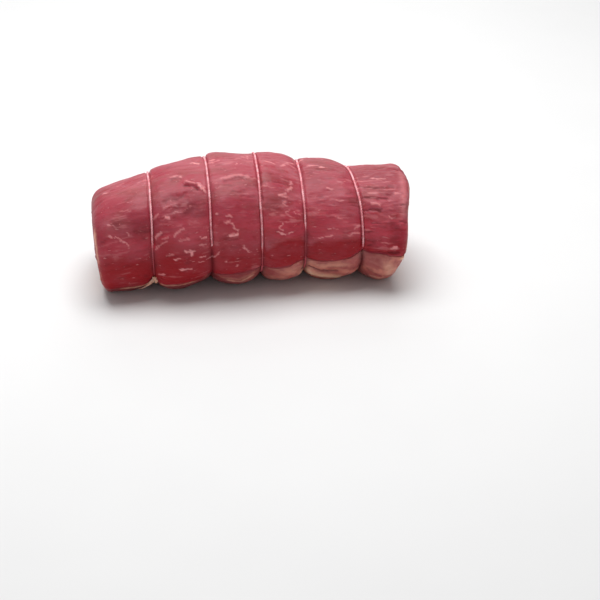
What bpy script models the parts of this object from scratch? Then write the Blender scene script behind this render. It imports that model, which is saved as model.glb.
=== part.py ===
"""Raw beef joint: a log of muscle on its fat cap, pinched into six lobes by five loops of twine.

X runs along the joint, -Y is its front and +Z is up. The joint lies on the fat cap at Z = 0.
Angles are in degrees round the joint: 0 is the top, 90 the front, 180 the underside and 270 the back.
"""

import math
from collections import namedtuple

import bmesh
import bpy

# The lobes from left to right: height beside its left and its right tie, width, and shift towards the back.
Lobe = namedtuple("Lobe", "left_height right_height width shift")
LOBES = (
    Lobe(0.0765, 0.0930, 0.0940, -0.0030),
    Lobe(0.0965, 0.1020, 0.1070, -0.0005),
    Lobe(0.1060, 0.1015, 0.1140, 0.0020),
    Lobe(0.1060, 0.0925, 0.1110, 0.0035),
    Lobe(0.0985, 0.0935, 0.1040, 0.0020),
    Lobe(0.0885, 0.0895, 0.0990, -0.0070),
)

# The ties: place along the joint, slant against its cross-section in degrees, and how much deeper each bites
# into the folds low on both sides.
Tie = namedtuple("Tie", "place slant fold")
TIES = (
    Tie(-0.0825, 0.0, 0.0022),
    Tie(-0.0350, 0.0, 0.0034),
    Tie(0.0065, 0.8, 0.0052),
    Tie(0.0425, 1.0, 0.0052),
    Tie(0.0855, -4.0, 0.0052),
)

# The cut ends: place, rounding of the rim at the top and at the foot, and how far the top leans out.
End = namedtuple("End", "place round_top round_below lean")
LEFT_END = End(-0.1280, 0.0125, 0.0070, 0.0070)
RIGHT_END = End(0.1270, 0.0065, 0.0095, 0.0055)
END_DOME = 0.0030

# The right end was cut unevenly: degrees round the joint, and how far the end stands out there. This fades out
# towards the middle of the joint, from the end to TRIM_FROM.
RIGHT_TRIM = (
    (-180, -0.0045), (-138, -0.0045), (-116, 0), (-20, 0), (15, 0.0022), (32, 0.0008), (55, -0.0018),
    (92, -0.0014), (102, -0.0022), (118, -0.0048), (180, -0.0045),
)
TRIM_FROM = 0.0960

# Cross-section and lobes.
SECTION_POWER = 2.25  # 2 is an ellipse, and more is squarer
LOBE_POWER = 2.6  # the same for a lobe's swell between two ties, over the top
LOBE_POWER_BELOW = 1.9  # the same low on the sides
SAG = 0.0020  # the underside is pressed flat where it would reach this far below the floor
WAVE = 0.0007  # low swellings of the skin, so that no two lobes are alike

# How deep a tie bites into the skin.
BITE_TOP = 0.0027
BITE_BELOW = 0.0060
FOLD_AT = 140.0
FOLD_SPREAD = 28.0
GROOVE_FLOOR = 0.0030  # width of the flat that the twine lies on

# The fat cap, which wraps the underside. Its front edge runs through these places, each with its angle. Its back
# edge has one angle at each end of the joint.
FAT_THICK = 0.0090
FAT_POWER = 3.0
FAT_BITE = 0.55  # share of its thickness that a tie squeezes out
FAT_FRONT = (
    (-0.128, 124), (-0.105, 132), (-0.082, 128), (-0.070, 123), (-0.045, 127), (-0.035, 122), (-0.028, 115),
    (-0.012, 115.5), (0.006, 113), (0.018, 109.5), (0.028, 106), (0.042, 100.5), (0.052, 104), (0.065, 104.5),
    (0.078, 97), (0.085, 90), (0.092, 94), (0.106, 95.5), (0.127, 97),
)
FAT_BACK_LEFT = 226.0
FAT_BACK_RIGHT = 240.0
FAT_STEP = 0.0014  # the muscle overhangs the edge of the fat by this much
LIP = 2.4  # degrees from the edge of the muscle to the edge of the fat
GAP = 0.00045  # between the muscle and the fat

# Twine.
TWINE_RADIUS = 0.0009
TWINE_CLEARANCE = 0.0005  # between the twine and the floor of its groove
TWINE_POINTS = 40

# Fineness of the faceted solids.
SPANS_PER_LOBE = 7
SPANS_PER_END_LOBE = 8
MUSCLE_POINTS = 26
FAT_SPANS = 12
DOME_RINGS = (0.72, 0.38)  # sizes of the rings on a cut end, as shares of its rim

BORDERS = [LEFT_END.place] + [tie.place for tie in TIES] + [RIGHT_END.place]
Station = namedtuple("Station", "lobe share x")


def mix(a, b, share):
    return a + (b - a) * share


def lobe_edges(lobe):
    """Where a lobe begins and ends along the joint."""
    half_floor = GROOVE_FLOOR / 2
    begin = BORDERS[lobe] + (half_floor if lobe > 0 else 0)
    end = BORDERS[lobe + 1] - (half_floor if lobe < len(TIES) else 0)
    return begin, end


def stations():
    """The cross-sections of the loft, closest together at the ties and at the ends."""
    found = []
    last = len(LOBES) - 1
    for lobe in range(len(LOBES)):
        spans = SPANS_PER_END_LOBE if lobe in (0, last) else SPANS_PER_LOBE
        begin, end = lobe_edges(lobe)
        for i in range(spans + 1):
            share = (1 - math.cos(math.pi * i / spans)) / 2
            found.append(Station(lobe, share, mix(begin, end, share)))
    return found


def height_of(lobe, share):
    return mix(LOBES[lobe].left_height, LOBES[lobe].right_height, share)


def full_radius(lobe, share, angle):
    """Distance from the section's centre to the skin of a lobe that no tie squeezes."""
    half_width = LOBES[lobe].width / 2
    half_height = (height_of(lobe, share) + SAG) / 2
    across = abs(math.sin(math.radians(angle)) / half_width) ** SECTION_POWER
    upright = abs(math.cos(math.radians(angle)) / half_height) ** SECTION_POWER
    return (across + upright) ** (-1 / SECTION_POWER)


def from_top(angle):
    """How far an angle is from the top of the joint, on either side of it."""
    return abs((angle + 180) % 360 - 180)


def bite(tie, angle):
    """How deep a tie cuts in, deepest in the two folds."""
    below = (1 - math.cos(math.radians(angle))) / 2
    fold = TIES[tie].fold * math.exp(-(((from_top(angle) - FOLD_AT) / FOLD_SPREAD) ** 2))
    return mix(BITE_TOP, BITE_BELOW, below) + fold


def groove_radius(tie, angle):
    """Distance from the section's centre to the floor of a tie's groove."""
    beside = min(full_radius(tie, 1, angle), full_radius(tie + 1, 0, angle))
    return beside - bite(tie, angle)


def swell(lobe, share, angle=0.0):
    """How far a lobe has risen out of its grooves: 0 at a tie and 1 where it is fullest."""
    lowness = min(max((from_top(angle) - 90) / 45, 0), 1)
    power = mix(LOBE_POWER, LOBE_POWER_BELOW, lowness)
    from_middle = 2 * share - 1
    if lobe == 0:
        from_middle = max(from_middle, 0)
    if lobe == len(LOBES) - 1:
        from_middle = min(from_middle, 0)
    return (1 - abs(from_middle) ** power) ** (1 / power)


def end_rounding(x, angle):
    """How far the skin is drawn in near the two cut ends."""
    below = (1 - math.cos(math.radians(angle))) / 2
    end = LEFT_END if x < 0 else RIGHT_END
    radius = mix(end.round_top, end.round_below, below)
    from_end = abs(x - end.place)
    if from_end >= radius:
        return 0
    return radius - math.sqrt(radius**2 - (radius - from_end) ** 2)


def skin_radius(station, angle):
    """Distance from the section's centre to the skin."""
    lobe, share, x = station
    left_floor = groove_radius(max(lobe - 1, 0), angle)
    right_floor = groove_radius(min(lobe, len(TIES) - 1), angle)
    floor = mix(left_floor, right_floor, share)
    turn = math.radians(angle)
    wave = WAVE * (math.sin(3 * turn + 70 * x) + math.sin(5 * turn - 110 * x + 1))
    full = full_radius(lobe, share, angle) + wave
    return floor + (full - floor) * swell(lobe, share, angle) - end_rounding(x, angle)


def between(x, places, values):
    """Straight-line value at x between given values at given places."""
    if x <= places[0]:
        return values[0]
    for i in range(1, len(places)):
        if x <= places[i]:
            share = (x - places[i - 1]) / (places[i] - places[i - 1])
            return mix(values[i - 1], values[i], share)
    return values[-1]


def section_centre(x):
    """Y and Z of the middle of the cross-section at x."""
    middles = [sum(lobe_edges(lobe)) / 2 for lobe in range(len(LOBES))]
    shift = between(x, middles, [lobe.shift for lobe in LOBES])
    heights = [LOBES[0].left_height]
    for tie in range(len(TIES)):
        heights.append(min(LOBES[tie].right_height, LOBES[tie + 1].left_height))
    heights.append(LOBES[-1].right_height)
    return shift, (between(x, BORDERS, heights) - SAG) / 2


def trimmed(x, angle):
    """How far a point near the right end stands out, or falls short when negative."""
    turned = (angle + 180) % 360 - 180
    reach = between(turned, [place for place, _ in RIGHT_TRIM], [stand for _, stand in RIGHT_TRIM])
    share = min(max((x - TRIM_FROM) / (RIGHT_END.place - TRIM_FROM), 0), 1)
    return reach * share * share * (3 - 2 * share)


def point_at(x, angle, radius):
    """The point at this angle and radius of the section at x, slanted as the nearest ties are."""
    centre_y, centre_z = section_centre(x)
    turn = math.radians(angle)
    across = -radius * math.sin(turn)
    z = max(centre_z + radius * math.cos(turn), 0)
    slant = between(x, BORDERS, [0] + [tie.slant for tie in TIES] + [0])
    lean = between(x, BORDERS, [-LEFT_END.lean] + [0] * len(TIES) + [RIGHT_END.lean])
    upright = (z - centre_z) / (2 * centre_z)
    along = x + math.tan(math.radians(slant)) * across + lean * upright + trimmed(x, angle)
    return along, centre_y + across, z


def fat_edges(station):
    """The angles of the fat cap's front and back edge."""
    along = (station.x - BORDERS[0]) / (BORDERS[-1] - BORDERS[0])
    front = between(station.x, [place for place, _ in FAT_FRONT], [angle for _, angle in FAT_FRONT])
    back = mix(FAT_BACK_LEFT, FAT_BACK_RIGHT, along)
    return front, back


def fat_angle(station, share):
    """The angle at a share of the way across the fat cap."""
    front, back = fat_edges(station)
    return mix(front + LIP, back - LIP, share)


def fat_outside(station, share):
    """Radius of the fat's outer face, which lies under the muscle's overhang at both edges."""
    step = FAT_STEP * abs(2 * share - 1) ** 4
    return skin_radius(station, fat_angle(station, share)) - step


def fat_thickness(station, share):
    """Thickness of the fat, blunt at its edges and squeezed where a tie bites."""
    blunt = (1 - abs(2 * share - 1) ** FAT_POWER) ** (1 / FAT_POWER)
    squeezed = 1 - FAT_BITE * (1 - swell(station.lobe, station.share))
    return FAT_THICK * blunt * squeezed


def muscle_ring(station):
    """The outline of the muscle: free skin over the top, then its face on the fat."""
    front, back = fat_edges(station)
    ring = []
    for i in range(MUSCLE_POINTS + 1):
        angle = mix(back - 360, front, i / MUSCLE_POINTS)
        ring.append(point_at(station.x, angle, skin_radius(station, angle)))
    for i in range(FAT_SPANS + 1):
        share = i / FAT_SPANS
        radius = fat_outside(station, share) - fat_thickness(station, share) - GAP
        ring.append(point_at(station.x, fat_angle(station, share), radius))
    return ring


def fat_ring(station):
    """The outline of the fat: its outer face from front to back, then its face on the muscle."""
    outer = []
    inner = []
    for i in range(FAT_SPANS + 1):
        share = i / FAT_SPANS
        angle = fat_angle(station, share)
        radius = fat_outside(station, share)
        outer.append(point_at(station.x, angle, radius))
        inner.append(point_at(station.x, angle, radius - fat_thickness(station, share)))
    return outer + inner[-2:0:-1]


def domed_end(ring, way):
    """Smaller and smaller copies of an end's outline, bulging out by the dome, and its middle point."""
    centre = [sum(values) / len(ring) for values in zip(*ring)]
    rings = []
    for scale in DOME_RINGS:
        bulge = way * END_DOME * (1 - scale**2)
        shrunk = [[mix(c, p, scale) for c, p in zip(centre, point)] for point in ring]
        rings.append([(x + bulge, y, z) for x, y, z in shrunk])
    return rings, (centre[0] + way * END_DOME, centre[1], centre[2])


def bridge(bm, first, second):
    """Quads between two rings of as many vertices."""
    for i in range(len(first)):
        following = (i + 1) % len(first)
        bm.faces.new((first[i], first[following], second[following], second[i]))


def loft(bm, rings):
    """A skin over rings of points, open at both ends. It gives the rings' vertices."""
    lofted = [[bm.verts.new(point) for point in ring] for ring in rings]
    for first, second in zip(lofted, lofted[1:]):
        bridge(bm, first, second)
    return lofted


def fan(bm, ring, tip):
    """Triangles from a ring to one point."""
    middle = bm.verts.new(tip)
    for i in range(len(ring)):
        bm.faces.new((ring[i], ring[(i + 1) % len(ring)], middle))


def close_crescent(bm, ring):
    """A flat cap over a crescent whose two arcs run from tip to tip."""
    count = len(ring)
    half = count // 2
    for i in range(half):
        corners = [ring[i], ring[i + 1], ring[(count - i - 1) % count], ring[-i % count]]
        bm.faces.new(list(dict.fromkeys(corners)))


def material(name, colour, roughness):
    made = bpy.data.materials.new(name)
    made.use_nodes = True
    shader = made.node_tree.nodes["Principled BSDF"]
    shader.inputs["Base Color"].default_value = (*colour, 1)
    shader.inputs["Roughness"].default_value = roughness
    shader.inputs["Metallic"].default_value = 0
    return made


def mesh_object(name, bm, finish, collection):
    """An object in the collection from a finished bmesh, in triangles whose faces point out."""
    bmesh.ops.triangulate(bm, faces=bm.faces, quad_method="SHORT_EDGE")
    bmesh.ops.recalc_face_normals(bm, faces=bm.faces)
    mesh = bpy.data.meshes.new(name)
    bm.to_mesh(mesh)
    bm.free()
    mesh.materials.append(finish)
    mesh.shade_smooth()
    mesh.set_sharp_from_angle(angle=math.radians(50))
    made = bpy.data.objects.new(name, mesh)
    collection.objects.link(made)
    return made


def make_meat(collection):
    """The muscle, one lofted body with slightly domed cut ends."""
    bm = bmesh.new()
    places = stations()
    left_rings, left_tip = domed_end(muscle_ring(places[0]), -1)
    right_rings, right_tip = domed_end(muscle_ring(places[-1]), 1)
    rings = left_rings[::-1] + [muscle_ring(place) for place in places] + right_rings
    lofted = loft(bm, rings)
    fan(bm, lofted[0], left_tip)
    fan(bm, lofted[-1], right_tip)
    finish = material("raw_beef", (0.36, 0.055, 0.070), 0.38)
    return mesh_object("meat", bm, finish, collection)


def make_fat_cap(collection):
    """The fat under the muscle, a crescent in section, flat where the joint rests."""
    bm = bmesh.new()
    lofted = loft(bm, [fat_ring(place) for place in stations()])
    close_crescent(bm, lofted[0])
    close_crescent(bm, lofted[-1])
    finish = material("beef_fat", (0.50, 0.27, 0.24), 0.42)
    return mesh_object("fat_cap", bm, finish, collection)


def make_tie(number, finish, collection):
    """One closed loop of twine in its groove."""
    tie = TIES[number]
    curve = bpy.data.curves.new(f"tie_{number + 1}", "CURVE")
    curve.dimensions = "3D"
    curve.bevel_depth = TWINE_RADIUS
    curve.bevel_resolution = 2
    loop = curve.splines.new("POLY")
    loop.points.add(TWINE_POINTS - 1)
    loop.use_cyclic_u = True
    for i in range(TWINE_POINTS):
        angle = 360 * i / TWINE_POINTS
        radius = groove_radius(number, angle) + TWINE_CLEARANCE + TWINE_RADIUS
        loop.points[i].co = (*point_at(tie.place, angle, radius), 1)
    curve.materials.append(finish)
    made = bpy.data.objects.new(f"tie_{number + 1}", curve)
    collection.objects.link(made)
    return made


def centre_over_origin(objects):
    """Moves the pieces together so that the origin is midway along and across their underside."""
    bpy.context.view_layer.update()
    corners = [piece.matrix_world @ corner for piece, corner in all_corners(objects)]
    middle_x = (min(c.x for c in corners) + max(c.x for c in corners)) / 2
    middle_y = (min(c.y for c in corners) + max(c.y for c in corners)) / 2
    for piece in objects:
        piece.location = (-middle_x, -middle_y, 0)


def all_corners(objects):
    """Every vertex of every mesh piece, with its piece."""
    for piece in objects:
        if piece.type == "MESH":
            for vertex in piece.data.vertices:
                yield piece, vertex.co


def clear_scene():
    for old in list(bpy.data.objects):
        bpy.data.objects.remove(old, do_unlink=True)


def main():
    clear_scene()
    collection = bpy.data.collections.new("roast_beef_joint")
    bpy.context.scene.collection.children.link(collection)
    pieces = [make_meat(collection), make_fat_cap(collection)]
    twine = material("butchers_twine", (0.72, 0.50, 0.46), 0.80)
    pieces += [make_tie(number, twine, collection) for number in range(len(TIES))]
    centre_over_origin(pieces)


main()
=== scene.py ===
# %% [markdown]
# # A raw rolled beef joint
# The object is a joint of raw beef for roasting: a log of muscle that lies on its own layer of fat and is
# tied with five loops of butcher's twine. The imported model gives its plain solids: the meat, the fat cap
# and five ties. This lesson dresses them. It repeats the few rules that the solids were made from, so
# that each finer surface lies exactly where its solid does, and then adds what the solids leave out:
# grain, creases, flecks, and the strands of the twine. All lengths are in metres unless a name or a
# comment says otherwise.

# %% Load the frame
import math
from collections import namedtuple

import bmesh
import bpy
import numpy as np
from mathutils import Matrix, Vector


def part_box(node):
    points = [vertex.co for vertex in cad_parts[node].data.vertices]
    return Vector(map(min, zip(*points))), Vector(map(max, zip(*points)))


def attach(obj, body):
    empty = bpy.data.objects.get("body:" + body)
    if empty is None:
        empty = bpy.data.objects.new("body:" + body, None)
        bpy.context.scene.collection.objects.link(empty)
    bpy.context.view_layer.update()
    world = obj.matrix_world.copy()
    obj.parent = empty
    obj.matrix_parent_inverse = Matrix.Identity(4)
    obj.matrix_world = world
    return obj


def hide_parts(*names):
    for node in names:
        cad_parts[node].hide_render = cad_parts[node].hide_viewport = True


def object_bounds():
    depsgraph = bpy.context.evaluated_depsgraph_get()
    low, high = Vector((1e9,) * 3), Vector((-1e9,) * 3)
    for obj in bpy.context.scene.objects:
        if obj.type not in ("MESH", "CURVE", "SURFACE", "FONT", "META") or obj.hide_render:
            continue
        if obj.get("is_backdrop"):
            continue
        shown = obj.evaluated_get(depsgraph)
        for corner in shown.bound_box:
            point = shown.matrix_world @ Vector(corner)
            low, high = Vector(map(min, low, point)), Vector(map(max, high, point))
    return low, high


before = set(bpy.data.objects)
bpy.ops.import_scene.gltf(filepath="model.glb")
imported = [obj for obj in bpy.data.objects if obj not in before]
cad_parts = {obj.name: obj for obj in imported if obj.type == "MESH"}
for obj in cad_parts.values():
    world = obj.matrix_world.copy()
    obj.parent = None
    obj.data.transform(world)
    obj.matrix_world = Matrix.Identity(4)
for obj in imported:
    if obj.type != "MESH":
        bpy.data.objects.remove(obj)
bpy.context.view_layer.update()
print("nodes:", sorted(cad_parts))

# %% [markdown]
# ## The camera
# A camera first, because everything after it is judged through it. It stands in front of the joint, a
# little to its left and well above it, and looks down at about 32 degrees. A 90 mm lens from more than a
# metre away gives the calm perspective of a product picture: the far end is only slightly smaller than
# the near one.

# %% The camera
CAMERA_PLACE = (-0.0997, -1.1068, 0.6537)
CAMERA_TURN = (58.308, -0.280, -7.200)  # degrees about X, Y and Z
LENS_MM = 90.05
SENSOR_MM = 36

camera = bpy.data.objects.new("camera", bpy.data.cameras.new("camera"))
camera.data.lens = LENS_MM
camera.data.sensor_width = SENSOR_MM
camera.location = CAMERA_PLACE
camera.rotation_euler = [math.radians(turn) for turn in CAMERA_TURN]
bpy.context.scene.collection.objects.link(camera)
bpy.context.scene.camera = camera
print("camera distance in m:", round(Vector(CAMERA_PLACE).length, 3))

# %% [markdown]
# ## Light and floor
# Raw meat looks right in soft light. Small hard lamps would put white sparks all over its wet skin, so
# the main light is one wide panel above and slightly behind the joint. It brightens the top of each lobe
# and lets the lower front fall off into a deep red. A dim white surrounding fills the shadows, and the
# floor is a plain pale sheet that is wide enough to reach past the edges of the view.

# %% Two soft panels
def soft_panel(name, place, aim, size, power):
    """A square area light of a size in metres and a power in watts that points at a place."""
    lamp = bpy.data.objects.new(name, bpy.data.lights.new(name, "AREA"))
    lamp.data.size = size
    lamp.data.energy = power
    lamp.location = place
    lamp.rotation_euler = (Vector(aim) - Vector(place)).to_track_quat("-Z", "Y").to_euler()
    bpy.context.scene.collection.objects.link(lamp)
    print(name, "stands", round((Vector(aim) - Vector(place)).length, 2), "m away")


HEART = (0, 0, 0.05)  # the middle of the joint
soft_panel("overhead_panel", (-0.05, 0.15, 1.20), HEART, size=0.9, power=17)
soft_panel("back_panel", (0.10, 1.30, 0.80), HEART, size=1.1, power=6)

# %% The dim surrounding and the floor
SKY_STRENGTH = 0.38
FLOOR_HALF = 3.0

world = bpy.data.worlds.new("studio")
world.use_nodes = True
world.node_tree.nodes["Background"].inputs["Color"].default_value = (1, 1, 1, 1)
world.node_tree.nodes["Background"].inputs["Strength"].default_value = SKY_STRENGTH
bpy.context.scene.world = world
bpy.context.scene.view_settings.view_transform = "Standard"

floor_mesh = bpy.data.meshes.new("floor")
floor_corners = [(-FLOOR_HALF, -FLOOR_HALF, 0), (FLOOR_HALF, -FLOOR_HALF, 0),
                 (FLOOR_HALF, FLOOR_HALF, 0), (-FLOOR_HALF, FLOOR_HALF, 0)]
floor_mesh.from_pydata(floor_corners, [], [(0, 1, 2, 3)])
floor = bpy.data.objects.new("floor", floor_mesh)
bpy.context.scene.collection.objects.link(floor)
floor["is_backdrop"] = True
print("the floor reaches", FLOOR_HALF, "m to each side")

# %% [markdown]
# ## The form of the joint
# Twine squeezes a soft log into lobes. The solids describe that with a few numbers for each lobe: its
# height beside the tie on either side of it, its width, and how far it sits towards the back. Round the
# joint, angles are in degrees: 0 is the top, 90 the front, 180 the underside, and negative angles are on
# the back. The same numbers are written out here, because the finer skin has to follow the same form.

# %% The sizes of the lobes, ties and ends
LOBES = np.array((
    # height at its left tie, at its right tie, width, shift towards the back
    (0.0765, 0.0930, 0.0940, -0.0030),
    (0.0965, 0.1020, 0.1070, -0.0005),
    (0.1060, 0.1015, 0.1140, 0.0020),
    (0.1060, 0.0925, 0.1110, 0.0035),
    (0.0985, 0.0935, 0.1040, 0.0020),
    (0.0885, 0.0895, 0.0990, -0.0070),
))
TIE_PLACES = np.array((-0.0825, -0.0350, 0.0065, 0.0425, 0.0855))
TIE_SLANTS = (0, 0, 0.8, 1.0, -4.0)  # degrees
LEFT_END, RIGHT_END = -0.1280, 0.1270
LEFT_ROUNDING = (0.0125, 0.0070)  # of the rim, at the top and at the foot
RIGHT_ROUNDING = (0.0065, 0.0095)
LEFT_LEAN, RIGHT_LEAN = 0.0070, 0.0055
RIGHT_TRIM = (  # degrees round the joint, and mm by which the right end stands proud there
    (-180, -4.5), (-138, -4.5), (-116, 0), (-20, 0), (15, 2.2), (32, 0.8), (55, -1.8), (92, -1.4),
    (102, -2.2), (118, -4.8), (180, -4.5),
)
TRIM_FROM = 0.0960  # the uneven cut fades in from here
SECTION_POWER = 2.25  # 2 is an ellipse, and more is squarer
LOBE_POWER = 2.6  # the same for a lobe's swell between two ties, over the top
LOBE_POWER_BELOW = 1.9  # the same low on the sides
SAG = 0.0020  # the underside is pressed flat where it would reach this far below the floor
WAVE = 0.0007  # low swellings of the skin, so that no two lobes are alike
BITE_TOP, BITE_BELOW = 0.0027, 0.0060  # how deep a tie cuts in at the top and at the underside
FOLD_AT, FOLD_SPREAD = 140, 28  # degrees, where a fold runs low on both sides, and how wide it is
FOLDS = np.array((0.0022, 0.0034, 0.0052, 0.0052, 0.0052))  # extra bite of each tie in those folds
GROOVE_FLOOR = 0.0030  # width of the flat that the twine lies on
MIDDLE = (-0.00005, -0.00139)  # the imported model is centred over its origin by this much

BORDERS = np.array([LEFT_END, *TIE_PLACES, RIGHT_END])
BEGINS = BORDERS[:-1] + GROOVE_FLOOR / 2 * np.array((0, 1, 1, 1, 1, 1))
ENDS = BORDERS[1:] - GROOVE_FLOOR / 2 * np.array((1, 1, 1, 1, 1, 0))
print("lobe lengths in mm:", np.round(1000 * (ENDS - BEGINS), 1))

# %% Helpers for mixing and fading
def mix(a, b, share):
    """a where the share is 0 and b where it is 1."""
    return a + (b - a) * share


def fade(value, start, stop):
    """0 before start and 1 after stop, with a soft change between them."""
    share = np.clip((value - start) / (stop - start), 0, 1)
    return share * share * (3 - 2 * share)


def bell(distance, width):
    """1 at no distance, and almost 0 at twice the width."""
    return np.exp(-((distance / width) ** 2))


def soft_line(value, table, spread):
    """Reads a table of pairs, with its corners rounded over a spread to each side."""
    places, heights = np.transpose(table)
    shifts = np.linspace(-spread, spread, 13)
    return np.mean([np.interp(value + shift, places, heights) for shift in shifts], axis=0)


print("fade from 1 to 2, at 1, 1.25, 1.5 and 2:", fade(np.array((1, 1.25, 1.5, 2)), 1, 2))

# %% [markdown]
# ## How the lobes close over the twine
# High on the joint the twine lies open in its groove. Lower down the soft lobes on both sides have bulged
# over it and meet in a sharp crease, so the twine seems to dive into the meat. Right under the joint it
# comes out of the crease again. One function says how far a groove has closed at an angle, and the skin,
# the twine and the colours all ask it.

# %% Closing of the grooves
OPEN_TO_FRONT = np.array((80, 88, 93, 69, 91))  # degrees; each tie dives in below this
OPEN_TO_BACK = np.array((96, 92, 99, 94, 90))
COVER = 0.0012  # how far the floor of a closed groove rises
HUG = 0.0008  # the same where it is open, so that the meat hugs the lower half of the twine
BURY = (-0.0008, 0.0032, -0.0006, -0.0006, 0.0032)  # how far each loop sinks there; three still show
DIVE = (-4, 6)  # degrees round those angles over which a groove closes
COMES_OUT = (156, 166)  # degrees over which it opens again under the joint


def wrapped(angle):
    """The same angle from -180 to 180."""
    return (angle + 180) % 360 - 180


def closing(tie, angle):
    """0 where a groove is open and 1 where its lobes meet."""
    turned = wrapped(angle)
    front = fade(turned, OPEN_TO_FRONT[tie] + DIVE[0], OPEN_TO_FRONT[tie] + DIVE[1])
    back = fade(-turned, OPEN_TO_BACK[tie] + DIVE[0], OPEN_TO_BACK[tie] + DIVE[1])
    return np.maximum(front, back) * (1 - fade(np.abs(turned), *COMES_OUT))


tie_1_closing = closing(0, np.arange(60, 181, 20))
print("how closed tie 1's groove is, every 20 degrees from 60:", np.round(tie_1_closing, 2))

# %% [markdown]
# ## From numbers to a skin
# Each cross-section is a slightly squared ellipse. At a tie the skin is drawn in by the twine's bite,
# which is deepest in the two folds low on the sides. Between two ties the lobe swells out to its full
# radius along another squared ellipse. Near the cut ends the skin rounds over. One function gives the
# radius for any place along the joint and any angle round it. It works on whole arrays at once, so a fine
# skin costs nothing.

# %% The radius of the skin
def lobe_and_share(x):
    """Which lobe x is in, and how far along it."""
    lobe = np.searchsorted(TIE_PLACES, x)
    return lobe, np.clip((x - BEGINS[lobe]) / (ENDS[lobe] - BEGINS[lobe]), 0, 1)


def full_radius(lobe, share, angle):
    """The radius of a lobe that no twine squeezes."""
    half_width = LOBES[lobe, 2] / 2
    half_height = (mix(LOBES[lobe, 0], LOBES[lobe, 1], share) + SAG) / 2
    across = np.abs(np.sin(np.radians(angle)) / half_width) ** SECTION_POWER
    upright = np.abs(np.cos(np.radians(angle)) / half_height) ** SECTION_POWER
    return (across + upright) ** (-1 / SECTION_POWER)


def lowness(angle):
    """0 at the top of the joint and 1 at its underside."""
    return (1 - np.cos(np.radians(angle))) / 2


def bite(tie, angle):
    """How deep a tie cuts in, deepest in the folds on both sides."""
    from_fold = np.abs(wrapped(angle)) - FOLD_AT
    return mix(BITE_TOP, BITE_BELOW, lowness(angle)) + FOLDS[tie] * bell(from_fold, FOLD_SPREAD)


def groove_radius(tie, angle):
    """The radius of the floor that a tie's twine lies on."""
    beside = np.minimum(full_radius(tie, 1.0, angle), full_radius(tie + 1, 0.0, angle))
    return beside - bite(tie, angle)


def swell(lobe, share, angle=0.0):
    """0 at a tie and 1 where a lobe is fullest. The outer lobes stay full up to their cut ends."""
    low = np.clip((np.abs(wrapped(angle)) - 90) / 45, 0, 1)
    power = mix(LOBE_POWER, LOBE_POWER_BELOW, low)
    from_middle = 2 * share - 1
    from_middle = np.where(lobe == 0, np.maximum(from_middle, 0), from_middle)
    from_middle = np.where(lobe == len(LOBES) - 1, np.minimum(from_middle, 0), from_middle)
    return (1 - np.abs(from_middle) ** power) ** (1 / power)


def rim(x, angle):
    """The radius of the rounding at the nearest end, and how far x is into it."""
    left, right = mix(*LEFT_ROUNDING, lowness(angle)), mix(*RIGHT_ROUNDING, lowness(angle))
    radius = np.where(x < 0, left, right)
    return radius, np.clip(radius - np.where(x < 0, x - LEFT_END, RIGHT_END - x), 0, radius)


def end_rounding(x, angle):
    """How far the skin has rounded over towards a cut end."""
    radius, inside = rim(x, angle)
    return radius - np.sqrt(radius**2 - inside**2)


def rim_turn(x, angle):
    """0 along the joint, and up to 1 where the skin has turned to face a cut end."""
    radius, inside = rim(x, angle)
    return np.arcsin(inside / radius) / (np.pi / 2)


def along_skin(x, angle):
    """Like x, but it goes on growing over the rounded rims, so that no pattern is stretched there."""
    radius, inside = rim(x, angle)
    return x + np.sign(x) * (radius * np.pi / 2 * rim_turn(x, angle) - inside)


def skin_radius(x, angle):
    """Distance from the section's middle to the skin."""
    lobe, share = lobe_and_share(x)
    left_tie, right_tie = np.maximum(lobe - 1, 0), np.minimum(lobe, len(TIE_PLACES) - 1)
    closed = mix(closing(left_tie, angle), closing(right_tie, angle), fade(share, 0.3, 0.7))
    closed_share = (x - BORDERS[lobe]) / (BORDERS[lobe + 1] - BORDERS[lobe])
    share = mix(share, closed_share, closed)  # a closed groove has no floor, so the lobe reaches its tie
    left_floor, right_floor = groove_radius(left_tie, angle), groove_radius(right_tie, angle)
    floor_radius = mix(left_floor, right_floor, share)
    turn = np.radians(angle)
    wave = WAVE * (np.sin(3 * turn + 70 * x) + np.sin(5 * turn - 110 * x + 1))
    full = full_radius(lobe, share, angle) + wave
    return floor_radius + (full - floor_radius) * swell(lobe, share, angle) - end_rounding(x, angle)


print("radius on top of the third lobe in mm:", round(1000 * float(skin_radius(-0.014, 0.0)), 1))

# %% From place, angle and radius to a point
def section_centre(x):
    """Y and Z of the middle of the cross-section at x."""
    shift = np.interp(x, (BEGINS + ENDS) / 2, LOBES[:, 3])
    heights = [LOBES[0, 0], *np.minimum(LOBES[:-1, 1], LOBES[1:, 0]), LOBES[-1, 1]]
    return shift, (np.interp(x, BORDERS, heights) - SAG) / 2


def trimmed(x, angle):
    """How far the right end was cut unevenly, fading out away from it."""
    return 0.001 * soft_line(wrapped(angle), RIGHT_TRIM, 6) * fade(x, TRIM_FROM, RIGHT_END)


def point_at(x, angle, radius):
    """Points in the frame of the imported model, pressed flat where they would go below the floor."""
    centre_y, centre_z = section_centre(x)
    across = -radius * np.sin(np.radians(angle))
    z = np.maximum(centre_z + radius * np.cos(np.radians(angle)), 0)
    slant = np.interp(x, BORDERS, [0, *TIE_SLANTS, 0])
    lean = np.interp(x, BORDERS, [-LEFT_LEAN] + [0] * len(TIE_PLACES) + [RIGHT_LEAN])
    leaning = lean * (z - centre_z) / (2 * centre_z)
    along = x + np.tan(np.radians(slant)) * across + leaning + trimmed(x, angle)
    return np.stack((along + MIDDLE[0], centre_y + across + MIDDLE[1], z), axis=-1)


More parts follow.
